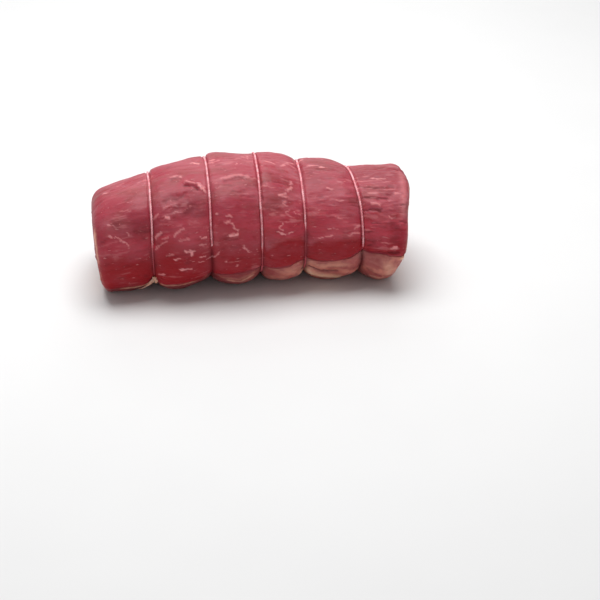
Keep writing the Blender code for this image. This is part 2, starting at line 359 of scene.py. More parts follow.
check_x, check_angle = np.meshgrid(np.linspace(LEFT_END, RIGHT_END, 200), np.linspace(-120, 90, 200))
check_points = point_at(check_x, check_angle, skin_radius(check_x, check_angle))
meat_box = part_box("meat")
print("top of the meat's solid in mm:", round(1000 * meat_box[1].z, 2))
print("top of the skin in mm:", round(1000 * check_points[..., 2].max(), 2))

# %% [markdown]
# ## Seeded unevenness
# Nothing on meat is even, but the lesson has to give the same mesh each time. So the unevenness comes
# from a lattice: each of its corners gets a random height from a table with a fixed seed, and a point
# between the corners gets a smooth blend of theirs. Stretching the lattice along the joint turns round
# lumps into fibres.

# %% Lattice noise
LATTICE = np.random.default_rng(7).uniform(-1, 1, 8192)
KEYS = (7919, 104729, 1299709)  # large primes, so that neighbours get unlike places in the table


def lattice_noise(u, v, seed):
    """Smooth values from -1 to 1 that change over a distance of about 1 in u and in v."""
    low_u, low_v = np.floor(u), np.floor(v)
    share_u, share_v = u - low_u, v - low_v
    share_u, share_v = [share**3 * (share * (6 * share - 15) + 10) for share in (share_u, share_v)]
    corners = []
    for step_u in (0, 1):
        for step_v in (0, 1):
            key = (low_u + step_u) * KEYS[0] + (low_v + step_v) * KEYS[1] + seed * KEYS[2]
            corners.append(LATTICE[key.astype(np.int64) % len(LATTICE)])
    return mix(mix(corners[0], corners[1], share_v), mix(corners[2], corners[3], share_v), share_u)


def lumps(u, v, size, seed, layers=3):
    """Lumps of a size in u and in v, with finer and weaker layers on top."""
    u, v = u / size[0], v / size[1]
    return sum(lattice_noise(u * 2**i, v * 2**i, seed + 31 * i) * 0.5**i for i in range(layers))


sample = lumps(np.arange(100.0), np.zeros(100), (8, 8), seed=1)
print("a sample of the noise goes from", round(sample.min(), 2), "to", round(sample.max(), 2))

# %% [markdown]
# ## Marks on the muscle
# A butcher's knife and fingers leave marks: torn flaps, shallow hollows, seams between muscles, and short
# pale threads of fat. Each is one line over the skin, with a width, a lift above or below the skin, and
# how pale and how dark it is. Lines are given in millimetres along the joint and degrees round it, lobe
# by lobe. A warp from the noise makes their edges ragged. Where the joint turns away from its front, the
# marks are drawn at random from the same kinds, so that its back is as lively as its face.
# The darkness in the hollows, splits, pits and creases is painted shade, and the pale lines along some
# ridges and flap edges are painted highlights; the threads and flecks are the meat's own fat.

# %% Broad painted shade, mostly darker patches on the left lobes and on top of the last two, and a faint painted sheen on top of the first and fourth lobes
Mark = namedtuple("Mark", "line width lift pale dark")  # width and lift in mm
MARKS = [
    Mark([(-120, 54), (-88, 57)], 15, 0, 0, 0.37),
    Mark([(-118, 12), (-90, 12)], 13, 0, 0.06, 0),
    Mark([(-72, 50), (-46, 52)], 14, 0, 0, 0.26),
    Mark([(-30, 60), (-10, 60)], 13, 0, 0, 0.10),
    Mark([(94, 0), (120, 4)], 16, 0, 0, 0.32),
    Mark([(52, 2), (76, 2)], 14, 0, 0, 0.24),
    Mark([(14, 4), (30, 4)], 8, 0, 0.06, 0),
    Mark([(46, 21), (54, 23)], 8, 0, 0, 0.20),
]
print("marks so far:", len(MARKS))

# %% The first lobe: an arc of threads and a few flecks
MARKS += [
    Mark([(-118, 58), (-109, 63), (-103, 69), (-101, 76)], 0.5, 0.1, 0.5, 0),
    Mark([(-116, 48), (-110, 50)], 0.6, 0.1, 0.35, 0),
    Mark([(-105, 36), (-98, 39)], 0.7, 0.1, 0.25, 0),
    Mark([(-102, 59), (-99, 63)], 0.6, 0.1, 0.4, 0),
    Mark([(-101, 110), (-100, 110)], 0.8, 0.2, 0.6, 0),
]
print("marks so far:", len(MARKS))

# %% The second lobe: a torn flap with a painted highlight on its edge, the crease under it and two hollows in painted shade, and flecks low down
MARKS += [
    Mark([(-53, 22), (-47, 25), (-42, 28), (-38, 33)], 1.3, 1.5, 0.35, 0),
    Mark([(-43, 29), (-40, 34), (-38, 36)], 1.0, 1.0, 0.85, 0),
    Mark([(-54, 26), (-48, 28.5), (-44, 33)], 0.9, -1.1, 0, 0.65),
    Mark([(-64, 13), (-60, 12), (-56, 14)], 0.9, 0.5, 0.45, 0),
    Mark([(-65, 16), (-60, 15), (-57, 17)], 0.8, -0.5, 0, 0.4),
    Mark([(-71, 38), (-66, 35), (-62, 38)], 2.8, -0.8, 0, 0.45),
    Mark([(-62, 46), (-54, 44), (-47, 48), (-55, 52)], 4.6, -1.0, 0, 0.5),
    Mark([(-61, 34), (-57, 37), (-54, 34)], 2.0, -0.5, 0, 0.3),
    Mark([(-72, 45), (-66, 43), (-62, 45)], 1.0, 0.6, 0.2, 0),
    Mark([(-71, 53), (-68, 55)], 1.1, 0.3, 0.6, 0),
    Mark([(-64, 50), (-56, 50), (-50, 47)], 0.6, 0.3, 0.20, 0),
    Mark([(-80, 53), (-77, 49)], 0.8, 0.4, 0.35, 0),
    Mark([(-56, 86), (-51, 87), (-52, 90)], 1.2, 0.4, 0.9, 0),
    Mark([(-65, 92), (-59, 93)], 0.7, 0.3, 0.75, 0),
    Mark([(-72, 88), (-66, 87)], 0.8, 0.2, 0.4, 0),
    Mark([(-45, 76), (-39, 77)], 0.5, 0.2, 0.7, 0),
    Mark([(-44, 82), (-40, 83)], 0.7, 0.2, 0.5, 0),
    Mark([(-45, 94), (-41, 94)], 0.5, 0.2, 0.6, 0),
    Mark([(-46, 99), (-42, 100)], 0.5, 0.2, 0.6, 0),
    Mark([(-61, 104), (-57, 103), (-53, 104)], 0.8, 0.3, 0.75, 0),
    Mark([(-79, 110), (-75, 109)], 1.1, 0.3, 0.6, 0),
    Mark([(-81, 82), (-76, 77), (-71, 74)], 0.6, 0.3, 0.4, 0),
    Mark([(-80, 70), (-76, 66)], 1.2, 0.5, 0.5, 0),
    Mark([(-75, 72), (-68, 70)], 0.7, 0.2, 0.35, 0),
    Mark([(-65, 70), (-58, 66)], 0.8, 0.3, 0.5, 0),
    Mark([(-62, 75), (-53, 75)], 0.7, 0.2, 0.35, 0),
]
print("marks so far:", len(MARKS))

# %% The third lobe: the seam between two muscles, a painted highlight above it and painted shade below, and a bright knot of fat
MARKS += [
    Mark([(-24, 26), (-16, 24), (-8, 23), (-2, 26)], 1.6, 0.7, 0.3, 0),
    Mark([(-22, 29), (-14, 27.5), (-7, 26.5), (-1, 29.5)], 1.3, -0.5, 0, 0.3),
    Mark([(-34, -3), (-29, -2), (-23, -4)], 0.8, 0.3, 0.35, 0),
    Mark([(-24, 60), (-18, 60)], 0.5, 0.2, 0.5, 0),
    Mark([(-24, 65), (-20, 64), (-17, 69), (-14, 72)], 0.8, 0.3, 0.6, 0),
    Mark([(-20, 76), (-14, 75)], 1.2, 0.5, 1.0, 0),
    Mark([(-9, 86), (-7, 89), (-4, 92)], 0.9, 0.3, 0.6, 0),
    Mark([(-25, 100), (-24, 100)], 0.8, 0.2, 0.6, 0),
    Mark([(-15, 105), (-14, 105)], 0.8, 0.2, 0.6, 0),
    Mark([(-31, 57), (-30, 57)], 0.9, 0.3, 0.6, 0),
    Mark([(-39, 98), (-34, 97), (-30, 90)], 0.7, 0.6, 0.45, 0),
]
print("marks so far:", len(MARKS))

# %% The fourth lobe: a pit beside the twine in painted shade, a band of flecks, and curls of fat
MARKS += [
    Mark([(7, 43), (9, 48)], 0.9, -0.8, 0, 0.6),
    Mark([(34, 26), (33, 30)], 1.0, 0.2, 0.4, 0),
    Mark([(33, 33), (29, 38)], 0.7, 0.2, 0.5, 0),
    Mark([(28, 41), (22, 44), (28, 45)], 0.6, 0.2, 0.55, 0),
    Mark([(27, 48), (24, 51), (28, 52)], 0.6, 0.2, 0.5, 0),
    Mark([(30, 56), (26, 58), (30, 61)], 0.6, 0.2, 0.4, 0),
    Mark([(33, 57), (38, 59)], 0.5, 0.2, 0.5, 0),
    Mark([(24, 68), (21, 71), (24, 73)], 0.6, 0.2, 0.6, 0),
    Mark([(19, 75), (25, 77), (32, 75)], 0.5, 0.2, 0.8, 0),
    Mark([(13, 90), (20, 83), (28, 80), (40, 79)], 1.6, 0.35, 0.05, 0),
    Mark([(14, 97), (14.5, 97)], 0.7, 0.2, 0.5, 0),
]
print("marks so far:", len(MARKS))

# %% The fifth lobe: short threads, and a low ridge over the fat
MARKS += [
    Mark([(61, 33), (65, 34)], 0.6, 0.2, 0.4, 0),
    Mark([(59, 71), (66, 71)], 0.4, 0.1, 0.6, 0),
    Mark([(52, 79), (57, 78), (62, 77)], 0.4, 0.1, 0.6, 0),
    Mark([(74, 77), (77, 74), (82, 74)], 1.0, 0.2, 0.5, 0),
    Mark([(79, 70), (83, 66)], 1.0, 0.2, 0.45, 0),
    Mark([(67, 46), (71, 45)], 0.7, 0.2, 0.5, 0),
    Mark([(66, 60), (70, 62)], 0.7, 0.2, 0.4, 0),
    Mark([(46, 84), (56, 78), (68, 76), (79, 80)], 1.6, 0.3, 0.05, 0),
]
print("marks so far:", len(MARKS))

# %% The sixth lobe: splits along the grain and a hollow at the end in painted shade, painted highlights on small ridges, and a pale ridge low down with painted shade under it
MARKS += [
    Mark([(88, 25), (98, 27), (113, 26)], 1.1, -0.9, 0, 0.5),
    Mark([(88, 39), (98, 40), (107, 39)], 1.1, -0.9, 0, 0.55),
    Mark([(88, 52), (101, 52)], 1.3, -0.9, 0, 0.5),
    Mark([(104, 34), (111, 35)], 2.0, -0.6, 0, 0.3),
    Mark([(112, 66), (117, 72), (113, 80)], 4.6, -0.5, 0, 0.35),
    Mark([(94, 95), (105, 94), (118, 93)], 1.3, -1.1, 0, 0.6),
    Mark([(98, 12), (103, 13), (108, 13)], 0.8, 0.2, 0.5, 0),
    Mark([(94, 45), (101, 46)], 1.2, 0.3, 0.45, 0),
    Mark([(114, 34), (118, 34)], 0.8, 0.2, 0.45, 0),
    Mark([(108, 57), (110, 59)], 0.7, 0.2, 0.5, 0),
    Mark([(88, 57), (97, 58)], 1.8, 0.2, 0.2, 0),
    Mark([(101, 88), (116, 88)], 1.5, 0.7, 0.2, 0),
    Mark([(110, 88), (115, 87)], 0.9, 0.3, 0.75, 0),
    # a painted highlight along the right edge
    Mark([(122, 8), (122, 56)], 3.2, 0.2, 0.28, 0),
]
print("marks on the front:", len(MARKS))

# %% The marks of the top and the back
BACK_PLACES = ((-122, 120), (-125, 8))  # mm along the joint, and degrees round it
# the hollows among these marks are darkened as painted shade
FLECK_SHARE = 0.72  # the others are dark hollows


def random_marks(count, seed):
    """Marks for the top and the back, where the front's list ends."""
    rng = np.random.default_rng(seed)
    marks = []
    for _ in range(count):
        x, angle = rng.uniform(*BACK_PLACES[0]), rng.uniform(*BACK_PLACES[1])
        length, drift = rng.uniform(1, 8), rng.uniform(-4, 4)
        line = [(x, angle), (x + length / 2, angle + drift / 3), (x + length, angle + drift)]
        if rng.random() < FLECK_SHARE:
            marks.append(Mark(line, rng.uniform(0.4, 1.2), 0.2, rng.uniform(0.25, 0.8), 0))
        else:
            # a hollow, darkened as painted shade
            marks.append(Mark(line, rng.uniform(0.8, 2.2), -rng.uniform(0.5, 1.0), 0, 0.45))
    return marks


MARKS += random_marks(95, seed=11)
print("marks on the whole muscle:", len(MARKS))

# %% How near a point of the skin is to a mark
MM_PER_DEGREE = 0.89  # round the joint, at its usual radius


def nearness(along, around, line, width):
    """1 on the line and almost 0 at twice the width away. All in mm and degrees."""
    nearest = np.full(along.shape, 1e9)
    for (x0, angle0), (x1, angle1) in zip(line, line[1:]):
        step_u, step_v = x1 - x0, (angle1 - angle0) * MM_PER_DEGREE
        u, v = along - x0, (around - angle0) * MM_PER_DEGREE
        share = np.clip((u * step_u + v * step_v) / (step_u**2 + step_v**2), 0, 1)
        nearest = np.minimum(nearest, np.hypot(u - share * step_u, v - share * step_v))
    return bell(nearest, width)


beside = nearness(np.arange(4.0), np.zeros(4), [(0, -10), (0, 10)], 1.5)
print("nearness 0, 1, 2 and 3 mm from a line 1.5 mm wide:", np.round(beside, 2))

# %% [markdown]
# ## The relief of the muscle
# Four sizes of unevenness lie on top of each other: broad swellings, bundles of fibre, the fine grain,
# and the marks. Fibres run along the joint, so their lattice is stretched that way. The twine presses
# everything flat beside it, so the relief fades out near a tie. The function also gives the masks that
# the colours need later.

# %% The crease over a buried twine
HUG_WIDTH, COVER_WIDTH, CREASE_WIDTH = 0.0036, 0.0018, 0.0024
CREASE_WANDER = 0.0006  # how far the crease strays from the twine under it


def cover(x, angle):
    """The lift over the buried twine, and a mask of the crease."""
    lift, crease = np.zeros_like(x), np.zeros_like(x)
    for tie, place in enumerate(TIE_PLACES):
        closed = closing(tie, angle)
        wander = CREASE_WANDER * lumps(angle, np.full_like(x, tie), (9, 1), 12, layers=1)
        hugged, covered = HUG * bell(x - place, HUG_WIDTH), COVER * bell(x - place, COVER_WIDTH)
        lift = np.maximum(lift, mix(hugged, covered, closed))
        crease = np.maximum(crease, closed * bell(x - place - wander, CREASE_WIDTH))
    return lift, crease


over_tie = cover(np.full(2, TIE_PLACES[0]), np.array((0, 120)))[0]
print("lift at tie 1 in mm, where it is open and where it is buried:", np.round(1000 * over_tie, 2))

# %% Where the muscle is darker, partly wet muscle and partly painted shade low on the sides, and where it is coarse
DEEP_START = (  # mm along the joint, and the degrees below which the muscle is darker: partly wet muscle, partly painted shade
    (-128, 84), (6, 84), (9, 96), (16, 87), (26, 81), (38, 78), (42, 84), (47, 89), (50, 81), (60, 81),
    (71, 80), (80, 78), (86, 84), (128, 84),
)
DEEP_SOFT = ((-128, 14), (4, 14), (10, 3), (80, 3), (88, 14), (128, 14))  # mm, and degrees of change
SOFTEST = 14  # degrees
COARSE = (  # mm along the joint, and how strongly the fibres show there
    (-128, 0.45), (-88, 0.50), (-80, 0.60), (0, 0.60), (6, 0.90), (38, 0.90), (46, 0.62), (80, 0.66),
    (87, 1.15), (128, 1.15),
)
FLANK_AT, FLANK_SPREAD = 72, 15  # degrees, where the sides of the joint are a clearer red

strengths = [strength for _, strength in COARSE]
print("the fibres' strength goes from", min(strengths), "to", max(strengths))

# %% Fibres, streaks and marks as relief and masks
SWELLING_MM, BUNDLE_MM, GRAIN_MM, SPLIT_MM, THREAD_MM = 0.60, 0.27, 0.13, 0.45, 0.12
RAGGED = 0.9  # mm and degrees by which the noise bends the edge of a mark
PRESSED = 0.0035  # the twine presses the relief flat this far to each side
# how dark the painted shade in a closed crease is
CREASE_SHADE = 0.58
WIDE_MARK = 3  # mm; a mark wider than this has a soft edge


def strokes(along, around, seed):
    """Short streaks along the fibres, each a few millimetres long and about one wide."""
    ragged = lumps(along, around, (8, 1.5), seed, layers=2)
    return fade(ragged, 0.42, 0.95) * fade(lumps(along, around, (15, 10), seed + 1, layers=1), -0.15, 0.55)


def muscle_relief(x, angle):
    """Lift of the skin in metres, and masks: pale, dark, deep, fatty, cut, grainy and flank."""
    along, around = 1000 * along_skin(x, angle), angle * MM_PER_DEGREE
    beside_tie = 1 - np.max([bell(x - place, PRESSED) for place in TIE_PLACES], axis=0)
    swellings = lumps(along, around, (18, 13), 1, layers=2)
    bundles = lumps(along, around, (13, 4.0), 2)
    grain = lumps(along, around, (6, 1.4), 3, layers=2)
    grainy = soft_line(along, COARSE, 2)
    uneven = 9 * lumps(along, around, (14, 11), 6, layers=1)
    starts, soft = soft_line(along, DEEP_START, 2), soft_line(along, DEEP_SOFT, 2)
    deep = fade(np.abs(angle) + uneven * soft / SOFTEST, starts - soft, starts + soft)
    coarse = grainy * (1 - 0.6 * deep * (1 - soft / SOFTEST))
    lift_mm = SWELLING_MM * swellings + coarse * (BUNDLE_MM * bundles + GRAIN_MM * grain)

    ragged_x = along + RAGGED * lumps(along, around, (2.5, 1.6), 4)
    ragged_angle = angle + RAGGED * lumps(along, around, (2.5, 1.6), 5)
    splits, threads = strokes(along, around, 14), strokes(along, around, 17)
    lift_mm = lift_mm - SPLIT_MM * coarse * splits + THREAD_MM * threads
    # pale threads of fat, and the sunken splits darkened as painted shade
    pale, dark = 0.30 * coarse * threads, 0.34 * coarse * splits
    for mark in MARKS:
        near = nearness(ragged_x, ragged_angle, mark.line, mark.width)
        lift_mm = lift_mm + mark.lift * near
        sharpened = near if mark.width > WIDE_MARK else fade(near, 0.15, 0.80)
        pale = np.maximum(pale, mark.pale * sharpened)
        dark = np.maximum(dark, mark.dark * near)
    turn = rim_turn(x, angle) + 0.05 * lumps(around, along, (3, 3), 7)
    cut = fade(turn, 0.66, 0.74)
    left_shown = 0.85 * fade(angle, 42, 56) * (1 - 0.7 * fade(angle, 74, 94))
    shown = np.where(x < 0, left_shown, 0.50 * fade(np.abs(angle - 60), 48, 30))
    fatty = shown * bell(turn - 0.66, 0.10) * fade(lumps(around, along, (5, 5), 9, layers=1), -0.8, 0.1)
    lift_mm = (lift_mm + 0.3 * fatty) * fade(1 - turn, 0.04, 0.30)

    flank = bell(np.abs(angle) - FLANK_AT, FLANK_SPREAD) * (1 - cut)
    cover_lift, crease = cover(x, angle)
    # the crease over a buried twine is darkened as painted shade
    dark = np.maximum(dark, CREASE_SHADE * crease)
    pale, dark = pale * (1 - cut), dark * (1 - 0.7 * cut)
    lift = 0.001 * lift_mm * (0.25 + 0.75 * beside_tie) + cover_lift
    return lift, pale, dark, deep, fatty, cut, grainy, flank


flap_lift = muscle_relief(np.array([-0.042]), np.array([28.0]))[0]
print("lift at the flap on the second lobe in mm:", np.round(1000 * flap_lift, 2))

# %% [markdown]
# ## The fat cap's edges
# The joint lies on its layer of fat. Its front edge climbs from the foot of the first lobe to a third of
# the way up the last one, and it sags between two ties, which gives a lobe its smile of fat. The meat
# bulges over that edge a little, and both pieces take their edges from here, so that they always meet.

# %% Where the fat begins and ends
FAT_FRONT = (  # mm along the joint, and degrees round it
    (-128, 124), (-105, 132), (-82, 128), (-70, 123), (-45, 127), (-35, 122), (-28, 115), (-12, 115.5),
    (6, 113), (18, 109.5), (28, 106), (42, 100.5), (52, 104), (65, 104.5), (78, 97), (85, 90),
    (92, 94), (106, 95.5), (127, 97),
)
FAT_BACK = (-134.0, -120.0)  # degrees, at the left and at the right end
FAT_THICK = 0.0090
FAT_BITE = 0.55  # share of its thickness that a tie squeezes out
FAT_POWER = 3  # how blunt its edges are
LIP = 2.4  # degrees between the edge of the meat and the edge of the fat
STEP = 0.0014  # the meat stands proud of the fat's edge by this much
GAP = 0.00030  # between the meat and the fat, where nothing shows


def fat_edges(x):
    """Angles of the front and the back edge, with a soft line through the places above."""
    front = soft_line(1000 * x, FAT_FRONT, 3)
    along = (x - LEFT_END) / (RIGHT_END - LEFT_END)
    front = front + 0.9 * lumps(1000 * x, 0 * x, (7, 1), 8, layers=1)
    back = mix(*FAT_BACK, along) - 1.1 * lumps(1000 * x, 0 * x, (11, 1), 9, layers=1)
    return front, back + 360


def fat_angle(x, share):
    """The angle at a share of the way from the front edge of the fat to its back edge."""
    front, back = fat_edges(x)
    return mix(front + LIP, back - LIP, share)


def fat_outside(x, share):
    """The radius of the fat's outer face."""
    angle = fat_angle(x, share)
    return skin_radius(x, angle) - STEP * np.abs(2 * share - 1) ** 4 + 0.5 * cover(x, angle)[0]


def fat_thickness(x, share):
    """Thick under the joint, thin under a tie, and nothing at the edges."""
    blunt = (1 - np.abs(2 * share - 1) ** FAT_POWER) ** (1 / FAT_POWER)
    lobe, along = lobe_and_share(x)
    return FAT_THICK * blunt * (1 - FAT_BITE * (1 - swell(lobe, along)))


print("front edge of the fat at both ends:", np.round(fat_edges(np.array((LEFT_END, RIGHT_END)))[0], 1))

# %% [markdown]
# ## Meshes from grids
# Every surface here is a grid of points: one index runs along the piece and the other round it. A grid
# turns into a mesh by joining each point to its neighbours with four-sided faces. The sections stand
# closer together beside the ties and the ends, where the form turns fastest.

# %% The places of the sections
SECTIONS = 334
TIE_CROWDING, END_CROWDING = 1.3, 3.5  # how many more sections stand there, beside one everywhere


def section_places(count):
    """Places along the joint, closest together at the ties and the ends."""
    fine = np.linspace(LEFT_END, RIGHT_END, 6000)
    crowding = 1 + sum(TIE_CROWDING * bell(fine - place, 0.0045) for place in TIE_PLACES)
    crowding = crowding + sum(END_CROWDING * bell(fine - end, 0.0040) for end in (LEFT_END, RIGHT_END))
    passed = np.concatenate(([0], np.cumsum((crowding[1:] + crowding[:-1]) / 2)))
    return np.interp(np.linspace(0, passed[-1], count), passed, fine)


places = section_places(SECTIONS)
gaps_mm = 1000 * np.diff(places)
print("sections stand", round(gaps_mm.min(), 2), "to", round(gaps_mm.max(), 2), "mm apart")

# %% Grids into mesh objects
def grid_faces(rows, columns):
    """Faces between the rows of a grid whose points are numbered row by row, and whose rows are closed."""
    row, column = np.meshgrid(np.arange(rows - 1), np.arange(columns), indexing="ij")
    following = (column + 1) % columns
    corners = (row * columns + column, row * columns + following,
               (row + 1) * columns + following, (row + 1) * columns + column)
    return np.stack(corners, axis=-1).reshape(-1, 4)


def capped_faces(rows, columns):
    """The same as a list, with a face over the first row and one over the last."""
    last = (rows - 1) * columns
    faces = [tuple(face) for face in grid_faces(rows, columns)]
    return faces + [tuple(range(columns))[::-1], tuple(range(last, last + columns))]


def add_mesh(name, points, faces, masks):
    """A smooth mesh object, with each mask stored as a value at its points."""
    mesh = bpy.data.meshes.new(name)
    corners = [[int(corner) for corner in face] for face in faces]
    mesh.from_pydata(points.reshape(-1, 3).tolist(), [], corners)
    mesh.validate()
    mesh.shade_smooth()
    for mask_name, values in masks.items():
        stored = mesh.attributes.new(mask_name, "FLOAT", "POINT")
        stored.data.foreach_set("value", np.asarray(values, dtype=np.float32).ravel())
    edit = bmesh.new()
    edit.from_mesh(mesh)
    loose = [point for point in edit.verts if not point.link_faces]
    bmesh.ops.delete(edit, geom=loose, context="VERTS")
    bmesh.ops.recalc_face_normals(edit, faces=edit.faces)
    open_edges = sum(not edge.is_manifold for edge in edit.edges)
    edit.to_mesh(mesh)
    edit.free()
    made = bpy.data.objects.new(name, mesh)
    bpy.context.scene.collection.objects.link(made)
    print(f"{name}: {len(mesh.vertices)} points, {len(mesh.polygons)} faces, {open_edges} open edges")
    return made


print("a grid of 4 closed rows of 6 points has", len(grid_faces(4, 6)), "faces")

# %% [markdown]
# ## The muscle
# The muscle is one body: a skin over the top and both sides, a hidden face on the fat, and two cut ends.
# Each ring of the grid runs once round it. The ends are closed by smaller and smaller copies of the last
# ring. A cut end isn't flat: the fibres of the right one bulge out, those of the left one have drawn back
# a little, and the seams between the muscles sink in.

# %% The rings of the muscle
SKIN_POINTS = 214
FRONT_CROWDING = 1.35  # the points stand closer together towards the front, where the marks are
INNER_POINTS = 20  # on the hidden face towards the fat
LIP_ROUND = 0.0016  # the meat's edge curls in over the fat


def muscle_rings(x):
    """Points and masks of one ring for each place, from the back edge over the top to the front edge."""
    front, back = fat_edges(x)
    share = np.linspace(0, 1, SKIN_POINTS)
    share = share * (FRONT_CROWDING - (FRONT_CROWDING - 1) * share)
    angle = mix((back - 360)[:, None], front[:, None], share[None, :])
    column = np.broadcast_to(x[:, None], angle.shape)
    lift, *masks = muscle_relief(column, angle)
    from_edge = np.minimum(front[:, None] - angle, angle - (back[:, None] - 360)) * MM_PER_DEGREE / 1000
    tuck = np.clip(1 - from_edge / LIP_ROUND, 0, 1)
    curl = LIP_ROUND * (1 - np.sqrt(1 - tuck**2))
    skin = point_at(column, angle, skin_radius(column, angle) + lift - 0.8 * curl)

    inner_share = np.tile(np.linspace(0, 1, INNER_POINTS), (len(x), 1))
    inner_x = np.broadcast_to(x[:, None], inner_share.shape)
    inner_radius = fat_outside(inner_x, inner_share) - fat_thickness(inner_x, inner_share) - GAP
    inner = point_at(inner_x, fat_angle(inner_x, inner_share), inner_radius)
    none = np.zeros_like(inner_share)
    return np.concatenate((skin, inner), axis=1), [np.concatenate((mask, none), axis=1) for mask in masks]


rings, skin_masks = muscle_rings(places)
print(len(rings), "rings of", rings.shape[1], "points each")

# %% [markdown]
# ## The cut ends
# Across the grain a joint shows its muscles as separate fields with pale seams between them. Three seams
# cross each end here, drawn as wandering lines over the face. Between them the cut fibre bundles give a
# low, grainy relief. The seams sink in by a millimetre, and the mask makes them pale.

# %% Rings that close an end
END_RINGS = 30
SMALLEST_RING = 0.004  # as a share of the rim
DOMES = {-1: -0.0010, 1: 0.0030}  # how far the middle of the left and the right end stands out
SEAM_WIDTH = 0.9  # mm
SEAM_WARP = 3.2  # mm by which a seam wanders
FIELD_MM, FIBRE_MM, SEAM_MM = 0.9, 0.34, 1.1  # how much each of them stands out or sinks in
SEAMS = {  # lines over the left and the right end, in mm from its middle
    -1: [[(-46, 20), (-24, 9), (2, 13), (20, 29), (27, 44)],
         [(-9, -36), (1, -14), (2, 13)],
         [(20, 29), (35, 9)]],
    1: [[(-46, 6), (-26, 13), (-5, 1), (14, -9), (38, -13)],
        [(-5, 1), (3, 19), (-1, 40)],
        [(-26, 13), (-31, 29)]],
}


def cut_end(ring, way):
    """Rings that close an end, with masks. The way is -1 for the left end and 1 for the right one."""
    centre = ring.mean(axis=0)
    sizes = 1 - (np.arange(1, END_RINGS + 1) / (END_RINGS + 0.35))
    sizes = np.concatenate((sizes, [SMALLEST_RING]))
    points = centre + sizes[:, None, None] * (ring - centre)[None]
    y_mm, z_mm = 1000 * (points[..., 1] - centre[1]), 1000 * (points[..., 2] - centre[2])
    warp_y = y_mm + SEAM_WARP * lumps(y_mm, z_mm, (10, 10), 20 + way)
    warp_z = z_mm + SEAM_WARP * lumps(y_mm, z_mm, (10, 10), 24 + way)
    seam = np.zeros_like(y_mm)
    for line in SEAMS[way]:
        as_degrees = [(y, z / MM_PER_DEGREE) for y, z in line]
        near = nearness(warp_y, warp_z / MM_PER_DEGREE, as_degrees, SEAM_WIDTH)
        seam = np.maximum(seam, near)
    fields = lumps(y_mm, z_mm, (13, 13), 28 + way)
    fibres = lumps(y_mm, z_mm, (2.4, 2.4), 32 + way)
    inside = fade(1 - sizes, 0, 0.12)[:, None]
    bulge = DOMES[way] * (1 - sizes[:, None] ** 2)
    relief_mm = inside * (FIELD_MM * fields + FIBRE_MM * fibres - SEAM_MM * seam)
    points[..., 0] += way * (bulge + 0.001 * relief_mm)
    seam = seam * fade(lumps(y_mm, z_mm, (6, 6), 36 + way), -0.9, 0.1)
    none = np.zeros_like(seam)
    # in the order pale, dark, deep, fatty, cut, grainy, flank; the dark is painted shade on the sunken
    # fibre bundles
    masks = (none, 0.25 * np.clip(-fibres, 0, 1) * inside, none + 0.35, 0.85 * seam * inside,
             none + 1, none + 0.9, none)
    return points, masks


left_points, left_masks = cut_end(rings[0], -1)
right_points, right_masks = cut_end(rings[-1], 1)
print("rings on each end:", len(left_points))

# %% The muscle in one piece
MUSCLE_MASKS = ("pale", "dark", "deep", "fatty", "cut", "grainy", "flank")

all_rings = np.concatenate((left_points[::-1], rings, right_points))
rows, columns = all_rings.shape[:2]
faces = list(grid_faces(rows, columns))
tips = (all_rings[0].mean(axis=0), all_rings[-1].mean(axis=0))
left_tip, right_tip, last_row = rows * columns, rows * columns + 1, (rows - 1) * columns
for column in range(columns):  # a fan of triangles closes each end
    following = (column + 1) % columns
    faces.append((following, column, left_tip))
    faces.append((last_row + column, last_row + following, right_tip))
muscle_masks = {}
for mask_name, left, skin, right in zip(MUSCLE_MASKS, left_masks, skin_masks, right_masks):
    values = np.concatenate((left[::-1], skin, right))
    muscle_masks[mask_name] = np.concatenate((values.ravel(), (values[0, 0], values[-1, 0])))
muscle_points = np.concatenate((all_rings.reshape(-1, 3), tips))
muscle = add_mesh("beef_muscle", muscle_points, faces, muscle_masks)

# %% [markdown]
# ## The fat cap
# Beef fat is firm and waxy. Its outer face has soft lumps and a few folds where the twine has pushed it
# together, and on the fifth lobe a long fold runs down to the right with a paler strip below it. The cap
# is a crescent in section, thick under the joint and blunt at its edges, and it ends with the meat at
# both cut ends.

# %% Folds, lumps and stains of the fat
FAT_LUMP_MM, FAT_CRUMB_MM = 0.50, 0.16
FAT_PRESSED = 0.0030  # the twine presses its relief flat this far to each side
FAT_MARKS = [
    # the dark lines in the folds of the fat are painted shade
    Mark([(40, 117), (46, 116), (53, 121), (61, 122.5), (67, 120)], 1.0, -1.5, 0, 0.9),
    # a paler strip of fat under the long fold, brightened further as painted light where it faces down
    Mark([(42, 123), (50, 129), (58, 131), (68, 133)], 4.2, 0.9, 1.0, 0),
    Mark([(47, 110), (58, 113), (72, 110)], 2.2, 0.4, 0.25, 0),
    Mark([(12, 113), (24, 116), (38, 112)], 2.0, 0.4, 0.15, 0),
    Mark([(16, 122), (26, 124), (36, 122)], 0.9, -0.4, 0, 0.15),
    Mark([(-28, 122), (-14, 125), (0, 121)], 1.6, 0.4, 0.15, 0),
    Mark([(-22, 127), (-12, 130), (-1, 125)], 1.3, 0.4, 0.5, 0),
    # the thin pale lines low on the fat of the first two lobes are painted highlights
    Mark([(-77, 131), (-66, 129), (-52, 131), (-41, 128)], 1.3, 0.4, 0.5, 0),
    Mark([(-112, 135), (-100, 137), (-88, 134)], 1.2, 0.4, 0.6, 0),
    Mark([(93, 106), (103, 109), (113, 106)], 1.6, 0.5, 0.1, 0),
    Mark([(109, 109), (114, 114), (115, 122)], 5.0, 0.9, 0.40, 0),
    Mark([(122, 101), (126, 102.5)], 1.7, 2.0, 1.0, 0),
    Mark([(90, 118), (97, 123), (104, 126)], 1.4, -0.7, 0, 0.3),
    Mark([(96, 129), (103, 131), (110, 129)], 1.0, 0.5, 0.5, 0),
]


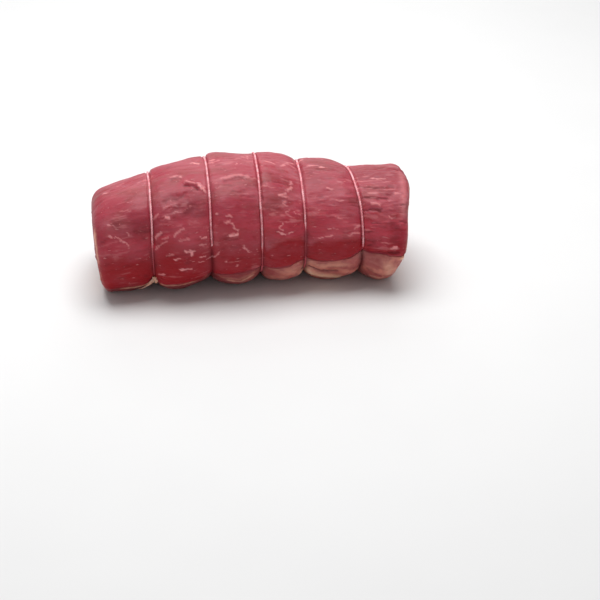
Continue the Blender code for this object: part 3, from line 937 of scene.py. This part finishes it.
def fat_relief(x, angle):
    """Lift in metres, and the masks pale, dark and stained."""
    along, around = 1000 * along_skin(x, angle), angle * MM_PER_DEGREE
    beside_tie = 1 - np.max([bell(x - place, FAT_PRESSED) for place in TIE_PLACES], axis=0)
    lift_mm = FAT_LUMP_MM * lumps(along, around, (13, 8), 41)
    lift_mm = lift_mm + FAT_CRUMB_MM * lumps(along, around, (3.2, 2.6), 42)
    ragged_x = along + lumps(along, around, (4, 3), 43)
    ragged_angle = angle + lumps(along, around, (4, 3), 44)
    pale, dark = np.zeros_like(x), np.zeros_like(x)
    for mark in FAT_MARKS:
        near = nearness(ragged_x, ragged_angle, mark.line, mark.width)
        lift_mm = lift_mm + mark.lift * near
        pale, dark = np.maximum(pale, mark.pale * near), np.maximum(dark, mark.dark * near)
    crease = cover(x, angle)[1]
    front, _ = fat_edges(x)
    blotches = 0.25 * lumps(along, around, (9, 6), 45)
    # pink staining, strongest on the first lobes and next to the meat's edge; on the first two lobes it is
    # partly painted shade where the fat lies under the meat
    stain_and_shade = mix(0.95, 0.10, fade(along, -32, 34)) + 0.40 * bell(angle - front, 6) + blotches
    stain_and_shade = stain_and_shade + 0.35 * bell(along - 94, 11)
    turn = rim_turn(x, angle) + 0.05 * lumps(around, along, (3, 3), 46)
    lift_mm = lift_mm * (0.3 + 0.7 * beside_tie) * fade(1 - turn, 0.04, 0.30)
    pale = np.maximum(pale, 0.60 * fade(turn, 0.60, 0.72))
    stain_and_shade = np.clip(stain_and_shade * (1 - pale) * (1 - fade(turn, 0.60, 0.72)), 0, 1)
    # the dark mask paints shade into the folds and into the crease over each tie
    return 0.001 * lift_mm, pale, np.maximum(dark, 0.8 * crease), stain_and_shade


stain_sample = fat_relief(np.array([-0.10, 0.06]), np.array([150.0, 150.0]))[3]
print("stain low on the first lobe and on the fifth:", np.round(stain_sample, 2))

# %% The two faces of the fat
FAT_POINTS = 80


def eased(count):
    """Shares from 0 to 1, closer together at both ends."""
    even = np.linspace(0, 1, count)
    return mix(even, (1 - np.cos(np.pi * even)) / 2, 0.6)


def fat_skins(x):
    """Points of the outer and of the inner face at each place, and the outer one's masks."""
    share = np.tile(eased(FAT_POINTS), (len(x), 1))
    column = np.broadcast_to(x[:, None], share.shape)
    angle = fat_angle(column, share)
    lift, *masks = fat_relief(column, angle)
    radius = fat_outside(column, share)
    thick = fat_thickness(column, share)
    outer = point_at(column, angle, radius + lift * np.clip(thick / 0.003, 0, 1))
    inner = point_at(column, angle, radius - thick)
    return outer, inner, masks


outer, inner, outer_masks = fat_skins(places)
print("thickest place of the fat in mm:", round(1000 * np.linalg.norm(outer - inner, axis=2).max(), 1))

# %% The cut ends of the fat
FAT_ROWS = 10  # across its thickness at a cut end
FAT_RING = 2 * FAT_POINTS - 2  # the points round a section: its two faces share both edges

across = np.linspace(0, 1, FAT_ROWS)[1:-1]


def rim_or_face(row, column, base, start):
    """The number of a point of a cut face, where row 0 is the outer rim and the last one the inner."""
    if row == 0 or column in (0, FAT_POINTS - 1):  # the rims meet at the two edges
        return base + column
    if row == FAT_ROWS - 1:
        return base + (FAT_RING - column) % FAT_RING
    return start + (row - 1) * FAT_POINTS + column


def fat_end(way, section, start):
    """Points, faces and masks of one cut face. The way is -1 for the left end and 1 for the right one."""
    points = mix(outer[section][None], inner[section][None], across[:, None, None])
    y, z = points[..., 1], points[..., 2]
    bulge = np.sin(np.pi * across)[:, None] ** 2
    bumps = lumps(260 * y, 260 * z, (1, 1), 50 + way)
    points[..., 0] += way * (0.0010 * bulge + 0.0005 * bumps * bulge)
    layers = lumps(70 * y, 0 * bumps + 9 * across[:, None], (1, 1), 54 + way)
    masks = (0.55 + 0.10 * layers, 0 * layers, np.clip(0.10 + 0.30 * layers, 0, 1))
    faces = []
    for row in range(FAT_ROWS - 1):
        for column in range(FAT_POINTS - 1):
            corners = ((row, column), (row, column + 1), (row + 1, column + 1), (row + 1, column))
            face = [rim_or_face(*corner, section * FAT_RING, start) for corner in corners]
            face = list(dict.fromkeys(face))  # beside an edge some corners are the same point
            if len(face) > 2:
                faces.append(tuple(face if way < 0 else face[::-1]))
    return points, faces, masks


# %% The fat in one piece
FAT_MASKS = ("pale", "dark", "stain_and_shade")

fat_points = [np.concatenate((outer, inner[:, -2:0:-1]), axis=1).reshape(-1, 3)]
cap_faces = [tuple(face) for face in grid_faces(len(places), FAT_RING)]
fat_masks = {}
for mask_name, mask in zip(FAT_MASKS, outer_masks):
    fat_masks[mask_name] = [np.concatenate((mask, 0 * mask[:, -2:0:-1]), axis=1).ravel()]
for way, section in ((-1, 0), (1, len(places) - 1)):
    start = sum(len(block) for block in fat_points)
    end_points, end_faces, end_masks = fat_end(way, section, start)
    fat_points.append(end_points.reshape(-1, 3))
    cap_faces += end_faces
    for mask_name, mask in zip(FAT_MASKS, end_masks):
        fat_masks[mask_name].append(mask.ravel())
fat_masks = {mask_name: np.concatenate(parts) for mask_name, parts in fat_masks.items()}
fat_cap = add_mesh("beef_fat_cap", np.concatenate(fat_points), cap_faces, fat_masks)

# %% [markdown]
# ## Butcher's twine
# The twine is three strands laid round each other. A tube with a round section would look like wire, so
# its section here is a three-lobed outline that turns as it runs along the path: one full turn every few
# millimetres. The path is the same loop as the solid's, a little unsteady, because hands pulled it tight.
# The turns must come out even on a closed loop, or the strands would not meet where it closes.

# %% A path in even steps, and the outline of three strands
TWINE_RADIUS = 0.00090
TWINE_CLEARANCE = 0.0005  # between the twine and the floor of its groove
STRANDS = 3
STRAND_RADIUS = 0.464  # where the whole twine's is 1
STRAND_PLACE = 0.536  # from the middle of the twine to the middle of a strand
STRAND_DEPTH = 0.75  # how much of the hollow between two strands stays open
SECTION_POINTS = 15
TWIST_PITCH = 0.0062  # length of one full turn
TWINE_STEP = 0.00050


def resampled(path, step, closed):
    """The same path in even steps."""
    if closed:
        path = np.concatenate((path, path[:1]))
    reach = np.concatenate(([0], np.cumsum(np.linalg.norm(np.diff(path, axis=0), axis=1))))
    count = max(4, int(reach[-1] / step))
    stops = np.linspace(0, reach[-1], count, endpoint=not closed)
    return np.stack([np.interp(stops, reach, path[:, axis]) for axis in range(3)], axis=1), reach[-1]


def strand_outline():
    """Radius of the section round the twine: one bump for each strand."""
    turn = 2 * np.pi * np.arange(SECTION_POINTS) / SECTION_POINTS
    from_strand = np.abs((STRANDS * turn + np.pi) % (2 * np.pi) - np.pi) / STRANDS
    aside = STRAND_PLACE * np.sin(from_strand)
    bump = STRAND_PLACE * np.cos(from_strand) + np.sqrt(np.maximum(STRAND_RADIUS**2 - aside**2, 0))
    return turn, 1 - STRAND_DEPTH + STRAND_DEPTH * bump


print("radii of the outline:", np.round(strand_outline()[1], 2))

# %% Twisted strands along a path
def carried_sides(spine, closed):
    """The direction of a path at each point, and one across it that turns with it as little as possible."""
    if closed:
        tangent = np.roll(spine, -1, axis=0) - np.roll(spine, 1, axis=0)
    else:
        tangent = np.gradient(spine, axis=0)
    tangent = tangent / np.linalg.norm(tangent, axis=1)[:, None]
    side = np.empty_like(tangent)
    side[0] = np.cross(tangent[0], (1, 0, 0) if closed else (0.31, 0.52, 0.79))
    side[0] /= np.linalg.norm(side[0])
    for i in range(1, len(spine)):
        kept = side[i - 1] - tangent[i] * (side[i - 1] @ tangent[i])
        side[i] = kept / np.linalg.norm(kept)
    return tangent, side


def twisted(path, radius, closed):
    """Points and faces of twine along a path, and its length."""
    spine, length = resampled(path, TWINE_STEP, closed)
    count = len(spine)
    tangent, side = carried_sides(spine, closed)
    up = np.cross(tangent, side)
    turn, outline = strand_outline()
    turns = length / TWIST_PITCH
    if closed:
        last = side[-1] - tangent[0] * (side[-1] @ tangent[0])
        missed = math.atan2(np.cross(last, side[0]) @ tangent[0], last @ side[0])
        turns = round(STRANDS * turns) / STRANDS + missed / (2 * math.pi)
    twist = 2 * np.pi * turns * np.arange(count) / count
    angle = turn[None, :] + twist[:, None]
    size = radius * outline[None, :] * np.ones((count, 1))
    if not closed:  # the cut ends are rounded over
        ends = np.minimum(np.arange(count), np.arange(count)[::-1]) / 1.5
        size = size * np.sqrt(np.clip(0.15 + ends, 0, 1))[:, None]
    points = (spine[:, None] + side[:, None] * (size * np.cos(angle))[..., None]
              + up[:, None] * (size * np.sin(angle))[..., None])
    if closed:
        faces = grid_faces(count + 1, SECTION_POINTS) % (count * SECTION_POINTS)
        return points.reshape(-1, 3), [tuple(face) for face in faces], length
    return points.reshape(-1, 3), capped_faces(count, SECTION_POINTS), length


sample_length = twisted(np.array([(0, 0, 0), (0.02, 0, 0)]), TWINE_RADIUS, False)[2]
print("a straight sample of twine is", round(1000 * sample_length, 1), "mm long")

# %% [markdown]
# ## Loops, knots and tails
# A butcher ties each loop separately, with a knot and two short cut tails. None shows on the front, so
# they sit high on the back, each a little differently. A knot is a tight overhand bend of the same twine,
# drawn along the curve of a trefoil, and the tails lie on the skin of the lobes beside it.

# %% Paths of a loop, a knot and a tail
KNOT_ANGLES = (-66, -74, -70, -77, -68)
KNOT_SIZE = 0.0011
KNOT_RISE = 0.0021  # from the skin to the middle of the knot
TAILS = (  # mm along and degrees round, from each knot
    ((10, -13), (-12, -9)), ((12, -7), (-9, -14)), ((11, -12), (-13, -6)), ((9, -15), (-11, -10)),
    ((12, -10), (-10, -14)),
)


def loop_path(tie):
    """Once round the joint in the groove of a tie, a little unsteady."""
    angle = np.linspace(0, 360, 720, endpoint=False)
    x = np.full(angle.shape, TIE_PLACES[tie])
    turn = np.radians(angle)
    wander = 0.00022 * np.sin(turn * 3 + tie) + 0.00012 * np.sin(turn * 8 + 2 * tie)
    radius = groove_radius(tie, angle) + TWINE_CLEARANCE + TWINE_RADIUS - BURY[tie] * closing(tie, angle)
    return point_at(x + wander, angle, radius)


def on_skin(x_mm, angle, lift):
    """Points that stand over the finished skin by a lift."""
    x = np.asarray(x_mm, dtype=float) / 1000
    return point_at(x, angle, skin_radius(x, angle) + muscle_relief(x, angle)[0] + lift)


def knot_path(centre, outward, along):
    """A closed trefoil as big as a small knot, lying flat on the skin."""
    sideways = np.cross(outward, along)
    turn = np.linspace(0, 2 * np.pi, 120, endpoint=False)
    flat = np.stack((np.sin(turn) + 1.6 * np.sin(2 * turn), np.cos(turn) - 1.6 * np.cos(2 * turn)), axis=1)
    rise = -0.95 * np.sin(3 * turn)
    return centre + KNOT_SIZE * (flat[:, :1] * along + flat[:, 1:] * sideways + rise[:, None] * outward)


def tail_path(place_mm, knot_angle, shift_mm, drop):
    """From the knot over the skin, in a slight bend, with its tip lifted off."""
    share = np.linspace(0, 1, 24)
    bend = 1.6 * np.sin(3.1 * share) * np.sign(shift_mm)
    angle = knot_angle + drop * share + bend * 2
    lift = TWINE_RADIUS * 0.9 + 0.0012 * bell(share, 0.25) + 0.0010 * share**2
    return on_skin(place_mm + shift_mm * share, angle, lift)


print("points on the path of each loop:", len(loop_path(0)))

# %% The five loops with their knots and tails
def tie_paths(tie):
    """The loop, the knot and the two tails, each with whether it is closed."""
    knot_angle, place_mm = KNOT_ANGLES[tie], 1000 * TIE_PLACES[tie]
    knot = on_skin(np.array([place_mm]), np.array([knot_angle]), 0)[0]
    under = on_skin(np.array([place_mm]), np.array([knot_angle]), -0.01)[0]
    outward = (knot - under) / np.linalg.norm(knot - under)
    ahead = on_skin(np.array([place_mm]), np.array([knot_angle + 2.0]), 0)[0] - knot
    ahead = ahead - outward * (ahead @ outward)
    centre = knot + outward * KNOT_RISE
    paths = [(loop_path(tie), True), (knot_path(centre, outward, ahead / np.linalg.norm(ahead)), True)]
    return paths + [(tail_path(place_mm, knot_angle, *tail), False) for tail in TAILS[tie]]


def joined(meshes):
    """Points and faces of several meshes as one, with the points of each kept apart."""
    faces, first = [], 0
    for points, own_faces in meshes:
        faces += [tuple(first + i for i in face) for face in own_faces]
        first += len(points)
    return [points for points, _ in meshes], faces


def tie_mesh(tie):
    """A loop with its knot and tails as one mesh."""
    strands = [twisted(path, TWINE_RADIUS, closed) for path, closed in tie_paths(tie)]
    lengths_mm = [round(1000 * length) for _, _, length in strands]
    print("loop", tie + 1, "is", lengths_mm[0], "mm round, and its tails are", lengths_mm[2:], "mm long")
    points, faces = joined([(made, made_faces) for made, made_faces, _ in strands])
    centre_y, centre_z = section_centre(TIE_PLACES[tie])
    loop = points[0] - (0, centre_y + MIDDLE[1], centre_z)
    buried = closing(tie, np.degrees(np.arctan2(-loop[:, 1], loop[:, 2])))
    points = np.concatenate(points)
    buried = np.concatenate((buried, np.zeros(len(points) - len(buried))))
    return add_mesh(f"twine_{tie + 1}", points, faces, {"buried": buried})


ties = [tie_mesh(tie) for tie in range(len(TIE_PLACES))]

# %% [markdown]
# ## Torn shreds
# At the foot of the first tie the twine has dragged a few whitish shreds of membrane out of the seam
# between the meat and the fat. Each is a flat, tapering ribbon with ragged edges that starts under the
# skin, hangs out over the fold and curls up at its tip.

# %% The shreds at the foot of the first tie
SHRED_ROWS, SHRED_COLUMNS = 22, 12
SHRED_THICK = 0.00035  # half its thickness at its root
SHREDS = (
    # from (mm, degrees) to (mm, degrees), width in mm, lift in mm
    ((-81, 119), (-86, 130), 4.0, 1.4),
    ((-82, 122), (-91, 133), 3.0, 1.3),
    ((-81.5, 122), (-81.5, 131), 2.6, 1.2),
    ((-84, 127), (-97, 136), 2.0, 0.9),
)


def shred(start, stop, width_mm, lift_mm, seed):
    """Points and faces of one ribbon."""
    share = np.linspace(0, 1, SHRED_ROWS)
    turn = np.linspace(0, 2 * np.pi, SHRED_COLUMNS, endpoint=False)
    x_mm, angle = mix(start[0], stop[0], share), mix(start[1], stop[1], share)
    wander = lumps(4 * share, 0 * share, (1, 1), seed)
    x_mm, angle = x_mm + 0.8 * wander, angle + wander
    x = x_mm / 1000
    lift = -0.0010 + 0.001 * (lift_mm + 1.2) * np.sin(np.pi * np.clip(share * 0.75 + 0.05, 0, 1))
    spine = point_at(x, angle, skin_radius(x, angle) + cover(x, angle)[0] + lift + 0.0008)
    spine[:, 2] = np.maximum(spine[:, 2], 0.0012)  # clear of the floor
    tangent = np.gradient(spine, axis=0)
    tangent /= np.linalg.norm(tangent, axis=1)[:, None]
    centre_y, centre_z = section_centre(x)
    outward = spine - np.stack((spine[:, 0], centre_y + MIDDLE[1], centre_z), axis=1)
    outward -= tangent * np.sum(outward * tangent, axis=1)[:, None]
    outward /= np.linalg.norm(outward, axis=1)[:, None]
    flat = np.cross(tangent, outward)
    ragged = 1 + 0.45 * lumps(9 * share[:, None], 3 * np.cos(turn)[None, :], (1, 1), seed + 1)
    taper = np.sqrt(np.clip(1.02 - share, 0, 1)) * (0.55 + 0.45 * np.sin(np.pi * share))
    wide = 0.0005 * width_mm * taper[:, None] * ragged
    thick = SHRED_THICK * (0.5 + 0.5 * taper[:, None])
    points = (spine[:, None] + flat[:, None] * (wide * np.cos(turn))[..., None]
              + outward[:, None] * (thick * np.sin(turn))[..., None])
    points[..., 2] = np.maximum(points[..., 2], 0.0002)
    return points.reshape(-1, 3), capped_faces(SHRED_ROWS, SHRED_COLUMNS)


ribbons = [shred(*shape, seed=60 + 5 * number) for number, shape in enumerate(SHREDS)]
shred_points, shred_faces = joined(ribbons)
shred_points = np.concatenate(shred_points)
shreds = add_mesh("membrane_shreds", shred_points, shred_faces, {"pale": np.full(len(shred_points), 0.65)})

# %% [markdown]
# ## Shader sums in Python
# A material is a graph of nodes, but a graph is hard to read as code. This small class wraps one output
# socket. It turns a Python sum such as 1 - mask into a Math node, and its one method adds any other node
# from its type, its settings and the values or links of its sockets. Colours are mixed by the Mix node,
# because a Math node would turn them grey.

# %% A wire between nodes
class Wire:
    """An output socket of a material that can be used in Python sums."""

    def __init__(self, tree, socket):
        self.tree, self.socket = tree, socket

    def node(self, kind, settings=None, sockets=None, out=0):
        """Adds a node to the same material and gives a wire from one of its outputs."""
        made = self.tree.nodes.new(kind)
        for name, value in (settings or {}).items():
            setattr(made, name, value)
        for key, value in (sockets or {}).items():
            if isinstance(value, Wire):
                self.tree.links.new(value.socket, made.inputs[key])
            else:
                made.inputs[key].default_value = value
        return Wire(self.tree, made.outputs[out])

    def math(self, operation, first, second):
        return self.node("ShaderNodeMath", {"operation": operation}, {0: first, 1: second})

    def __add__(self, other):
        return self.math("ADD", self, other)

    __radd__ = __add__

    def __mul__(self, other):
        return self.math("MULTIPLY", self, other)

    __rmul__ = __mul__

    def __sub__(self, other):
        return self.math("SUBTRACT", self, other)

    def __rsub__(self, other):
        return self.math("SUBTRACT", other, self)

    def above(self, low, high):
        """0 below low, 1 above high, and a soft change between them, or the reverse where low is higher."""
        return self.node("ShaderNodeMapRange", {"interpolation_type": "SMOOTHSTEP"},
                         {"Value": self, "From Min": low, "From Max": high})


print("reflected sums:", [name for name in ("add", "mul", "sub") if hasattr(Wire, f"__r{name}__")])

# %% Noise, mixed colours and masks
NOISE_ROUGHNESS = 0.55


def noise(place, scales, seed_shift, detail):
    """Noise of about 0.5, stretched by a scale for each axis, in cycles for each metre."""
    stretched = place.node("ShaderNodeVectorMath", {"operation": "MULTIPLY"}, {0: place, 1: scales})
    moved = place.node("ShaderNodeVectorMath", {"operation": "ADD"}, {0: stretched, 1: (seed_shift, 0, 0)})
    return place.node("ShaderNodeTexNoise", {"noise_dimensions": "3D"},
                      {"Vector": moved, "Scale": 1.0, "Detail": detail, "Roughness": NOISE_ROUGHNESS})


def blend(factor, first, second):
    """Mixes two colours."""
    return factor.node("ShaderNodeMix", {"data_type": "RGBA"}, {0: factor, 6: first, 7: second}, out=2)


def paint(red, green, blue):
    """A colour as screens write it, from 0 to 255, turned into the light that Blender mixes."""
    steps = [value / 255 for value in (red, green, blue)]
    return (*(step / 12.92 if step <= 0.04045 else ((step + 0.055) / 1.055) ** 2.4 for step in steps), 1)


def start_finish(name):
    """An empty material: its shader node, and a wire with the place on the object."""
    made = bpy.data.materials.new(name)
    made.use_nodes = True
    shader = made.node_tree.nodes["Principled BSDF"]
    place_node = made.node_tree.nodes.new("ShaderNodeTexCoord")
    return made, shader, Wire(made.node_tree, place_node.outputs["Object"])


def mask_of(here, name):
    """A mask that was stored at the points of the mesh."""
    return here.node("ShaderNodeAttribute", {"attribute_name": name}, out=2)


def bump(here, height, strength, distance):
    """Tilts the light on a surface by a height from 0 to 1 that stands for a distance in metres."""
    return here.node("ShaderNodeBump", None, {"Height": height, "Strength": strength, "Distance": distance})


def connect(shader, **wires):
    """Feeds sockets of a shader. A name is the socket's own, with _ for each space."""
    for name, wire in wires.items():
        wire.tree.links.new(wire.socket, shader.inputs[name.replace("_", " ")])


def glow(shader, weight, reach, scale):
    """Light under the surface: how much, how far for red, green and blue, and in metres."""
    shader.inputs["Subsurface Weight"].default_value = weight
    shader.inputs["Subsurface Radius"].default_value = reach
    shader.inputs["Subsurface Scale"].default_value = scale


print("a middle grey of 128 as light:", round(paint(128, 128, 128)[0], 3))

# %% [markdown]
# ## The finish of raw beef
# Raw beef is a dark, slightly see-through red under a thin wet film. Its colour comes in layers: a rosy
# red where air has reached the skin, a deep wine red low on the sides that is partly the darker wet muscle
# and partly painted shade, streaks along the fibres, and pale pink threads of fat. On top of these, dark
# red is painted as shade into hollows, splits, creases and broad patches, and pale pink as highlights on
# some ridges. The noise is stretched along the joint, so on the sides it reads as fibres and on the cut
# ends as their dots. The wet film is thicker in some patches than in others, and it hardly shows in the
# deep red low on the sides.

# %% The colours of beef, and the noise that mixes them
ROSY = paint(158, 55, 70)
GREYED = paint(163, 80, 90)
BROWNED = paint(138, 62, 64)
RUBY = paint(198, 56, 72)
WINE = paint(150, 12, 24)
# a dark red for random darker patches, and for painted shade in hollows, splits, folds and creases
DARK_RED_AND_SHADE = paint(86, 6, 16)
PALE_FAT_AND_SHEEN = paint(236, 156, 158)
# pale fat threads and flecks, also used for painted highlights on ridges and a faint painted sheen
MEMBRANE = paint(230, 166, 144)
CUT_RED = paint(150, 22, 36)

beef, shader, here = start_finish("raw_beef")
fibres = noise(here, (70, 460, 460), 0.0, detail=4)
fine_fibres = noise(here, (210, 1500, 1500), 7.0, detail=3)
mottle = noise(here, (34, 48, 48), 13.0, detail=4)
patches = noise(here, (95, 190, 190), 19.0, detail=4)
warmth = noise(here, (26, 60, 60), 23.0, detail=3)
fleck_noise = noise(here, (260, 720, 720), 31.0, detail=2)
deep_mask, pale_mask = mask_of(here, "deep"), mask_of(here, "pale")
painted_shade_mask, cut_mask, fatty_mask = mask_of(here, "dark"), mask_of(here, "cut"), mask_of(here, "fatty")
grain_mask, flank_mask = mask_of(here, "grainy"), mask_of(here, "flank")
print("nodes so far:", len(beef.node_tree.nodes))

# %% From rosy to wine red
skin_colour = blend(mottle.above(0.40, 0.64), ROSY, GREYED)
skin_colour = blend(0.7 * warmth.above(0.48, 0.68), skin_colour, BROWNED)
skin_colour = blend(0.42 * flank_mask, skin_colour, RUBY)
# wine red low on the sides: partly the darker wet muscle, partly painted shade
skin_colour = blend(deep_mask * (0.72 + 0.28 * mottle.above(0.62, 0.38)), skin_colour, WINE)
skin_colour = blend(cut_mask * 0.8, skin_colour, CUT_RED)
print("nodes with the broad colours:", len(beef.node_tree.nodes))

# %% Fibres and flecks
dark_fibres = patches.above(0.34, 0.66) * fibres.above(0.58, 0.38)
skin_colour = blend(0.46 * grain_mask * dark_fibres, skin_colour, WINE)
skin_colour = blend(0.24 * grain_mask * fine_fibres.above(0.50, 0.72), skin_colour, GREYED)
skin_colour = blend(0.30 * patches.above(0.54, 0.72), skin_colour, DARK_RED_AND_SHADE)
flecks = fleck_noise.above(0.62, 0.72) * patches.above(0.50, 0.62)
skin_colour = blend(0.42 * flecks, skin_colour, PALE_FAT_AND_SHEEN)
print("nodes with the fibres:", len(beef.node_tree.nodes))

# %% Fine fat between the bundles on the cut ends
wisp_noise = noise(here, (90, 110, 110), 37.0, detail=1)
wisps = 1 - here.math("ABSOLUTE", wisp_noise - 0.5, 0).above(0.004, 0.016)
skin_colour = blend(0.60 * cut_mask * wisps * patches.above(0.50, 0.60), skin_colour, MEMBRANE)
bundles = here.node("ShaderNodeTexVoronoi", {"feature": "DISTANCE_TO_EDGE"},
                    {"Vector": here, "Scale": 700.0})
between_bundles = (1 - bundles.above(0.01, 0.17)) * (0.3 + 0.7 * mottle.above(0.40, 0.60))
skin_colour = blend(0.22 * cut_mask * between_bundles, skin_colour, PALE_FAT_AND_SHEEN)
print("nodes with the fine fat:", len(beef.node_tree.nodes))

# %% The marks, and the shine of the skin
# painted shade in hollows, splits, pits and creases, and broad painted shade on some lobes
skin_colour = blend(painted_shade_mask, skin_colour, DARK_RED_AND_SHADE)
# pale threads and flecks of fat, plus painted highlights on some ridges and flap edges and a faint painted
# sheen on two lobe tops
skin_colour = blend(pale_mask, skin_colour, PALE_FAT_AND_SHEEN)
skin_colour = blend(fatty_mask, skin_colour, MEMBRANE)
dry = mottle.above(0.40, 0.65)
skin_height = 0.6 * fibres + 0.4 * fine_fibres - 0.5 * cut_mask * between_bundles
connect(shader, Base_Color=skin_colour, Roughness=0.50 + 0.12 * dry - 0.08 * pale_mask,
        Coat_Weight=(0.08 + 0.08 * (1 - dry)) * (1 - 0.9 * deep_mask),
        Normal=bump(here, skin_height, strength=0.55, distance=0.0009))
glow(shader, weight=0.22, reach=(1.0, 0.22, 0.16), scale=0.0035)
shader.inputs["Coat Roughness"].default_value = 0.30
shader.inputs["Specular IOR Level"].default_value = 0.18
muscle.data.materials.append(beef)
print("nodes in the whole finish of beef:", len(beef.node_tree.nodes))

# %% [markdown]
# ## The finish of beef fat
# Fresh fat is a warm pinkish cream, with a pink stain where it lies against the meat; on the first lobes
# that darker pink is partly painted shade under the meat, and the folds and creases are painted shade too.
# It scatters light more than the meat does, so it gets a stronger glow under its surface and a waxy, even
# shine.

# %% Beef fat
FAT_PINK = paint(170, 80, 76)
FAT_CREAM = paint(202, 122, 106)
FAT_PALE = paint(240, 190, 160)
FAT_STAIN_AND_SHADE = paint(140, 44, 48)

fat_finish, shader, here = start_finish("beef_fat")
clouds = noise(here, (60, 80, 80), 3.0, detail=3)
crumbs = noise(here, (350, 480, 480), 5.0, detail=3)
stain = noise(here, (120, 150, 150), 9.0, detail=4)
pale_mask, painted_shade_mask = mask_of(here, "pale"), mask_of(here, "dark")
fat_colour = blend(clouds.above(0.40, 0.62), FAT_PINK, FAT_CREAM)
fat_colour = blend(0.55 * stain.above(0.50, 0.70), fat_colour, FAT_STAIN_AND_SHADE)
fat_colour = blend(0.20 * crumbs.above(0.48, 0.66), fat_colour, FAT_CREAM)
# pink stain, partly painted shade on the first lobes
fat_colour = blend(mask_of(here, "stain_and_shade"), fat_colour, FAT_STAIN_AND_SHADE)
# pale fat on the cut ends and in strips, brightened as painted light on the strip under the fifth lobe's
# fold
fat_colour = blend(pale_mask * (0.80 + 0.35 * crumbs), fat_colour, FAT_PALE)
# painted shade in the folds and over the ties
fat_colour = blend(painted_shade_mask, fat_colour, DARK_RED_AND_SHADE)
connect(shader, Base_Color=fat_colour, Roughness=0.38 + 0.14 * crumbs,
        Normal=bump(here, crumbs, strength=0.35, distance=0.0006))
glow(shader, weight=0.35, reach=(1.0, 0.45, 0.30), scale=0.004)
for piece in (fat_cap, shreds):
    piece.data.materials.append(fat_finish)
print("nodes in the finish of fat:", len(fat_finish.node_tree.nodes))

# %% [markdown]
# ## The finish of the twine
# Cotton twine is off-white and dull, and here it has soaked up pink juice from the meat, more in some
# places than in others. Fine fibres run along the strands, which a tiny bump suggests.

# %% Twine
COTTON = paint(244, 182, 188)
SOAKED = paint(216, 112, 122)
DRENCHED = paint(174, 60, 72)

twine_finish, shader, here = start_finish("butchers_twine")
soak = noise(here, (220, 220, 220), 2.0, detail=3)
fuzz = noise(here, (2600, 2600, 2600), 4.0, detail=2)
height = here.node("ShaderNodeSeparateXYZ", None, {0: here}, out=2)
twine_colour = blend(0.8 * soak.above(0.38, 0.62), COTTON, SOAKED)
twine_colour = blend(0.6 * (1 - height.above(0.028, 0.060)), twine_colour, SOAKED)  # more low down
twine_colour = blend(0.85 * mask_of(here, "buried"), twine_colour, DRENCHED)
twine_colour = blend(0.30 * fuzz.above(0.5, 0.7), twine_colour, SOAKED)
connect(shader, Base_Color=twine_colour, Roughness=0.72 + 0.16 * fuzz,
        Normal=bump(here, fuzz, strength=0.5, distance=0.0003))
for tie in ties:
    tie.data.materials.append(twine_finish)
print("nodes in the finish of twine:", len(twine_finish.node_tree.nodes))

# %% The floor's finish
floor_finish, shader, here = start_finish("pale_floor")
speckle = noise(here, (9, 9, 9), 1.0, detail=2)
connect(shader, Base_Color=blend(speckle, paint(218, 218, 218), paint(222, 222, 222)))
shader.inputs["Roughness"].default_value = 0.9
floor.data.materials.append(floor_finish)
print("the floor's finish:", floor_finish.name)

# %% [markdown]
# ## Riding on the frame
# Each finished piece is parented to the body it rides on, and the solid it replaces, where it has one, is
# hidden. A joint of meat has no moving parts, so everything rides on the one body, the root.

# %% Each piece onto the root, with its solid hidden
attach(muscle, "root")
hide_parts("meat")
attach(fat_cap, "root")
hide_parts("fat_cap")
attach(shreds, "root")
for number, tie in enumerate(ties):
    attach(tie, "root")
    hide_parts(f"tie_{number + 1}")
print("pieces on the root:", [piece.name for piece in (muscle, fat_cap, shreds, *ties)])

# %% The size of the dressed joint
dressed_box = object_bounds()
dressed_mm = [round(1000 * side, 1) for side in dressed_box[1] - dressed_box[0]]
print("size of the dressed joint in mm:", dressed_mm)
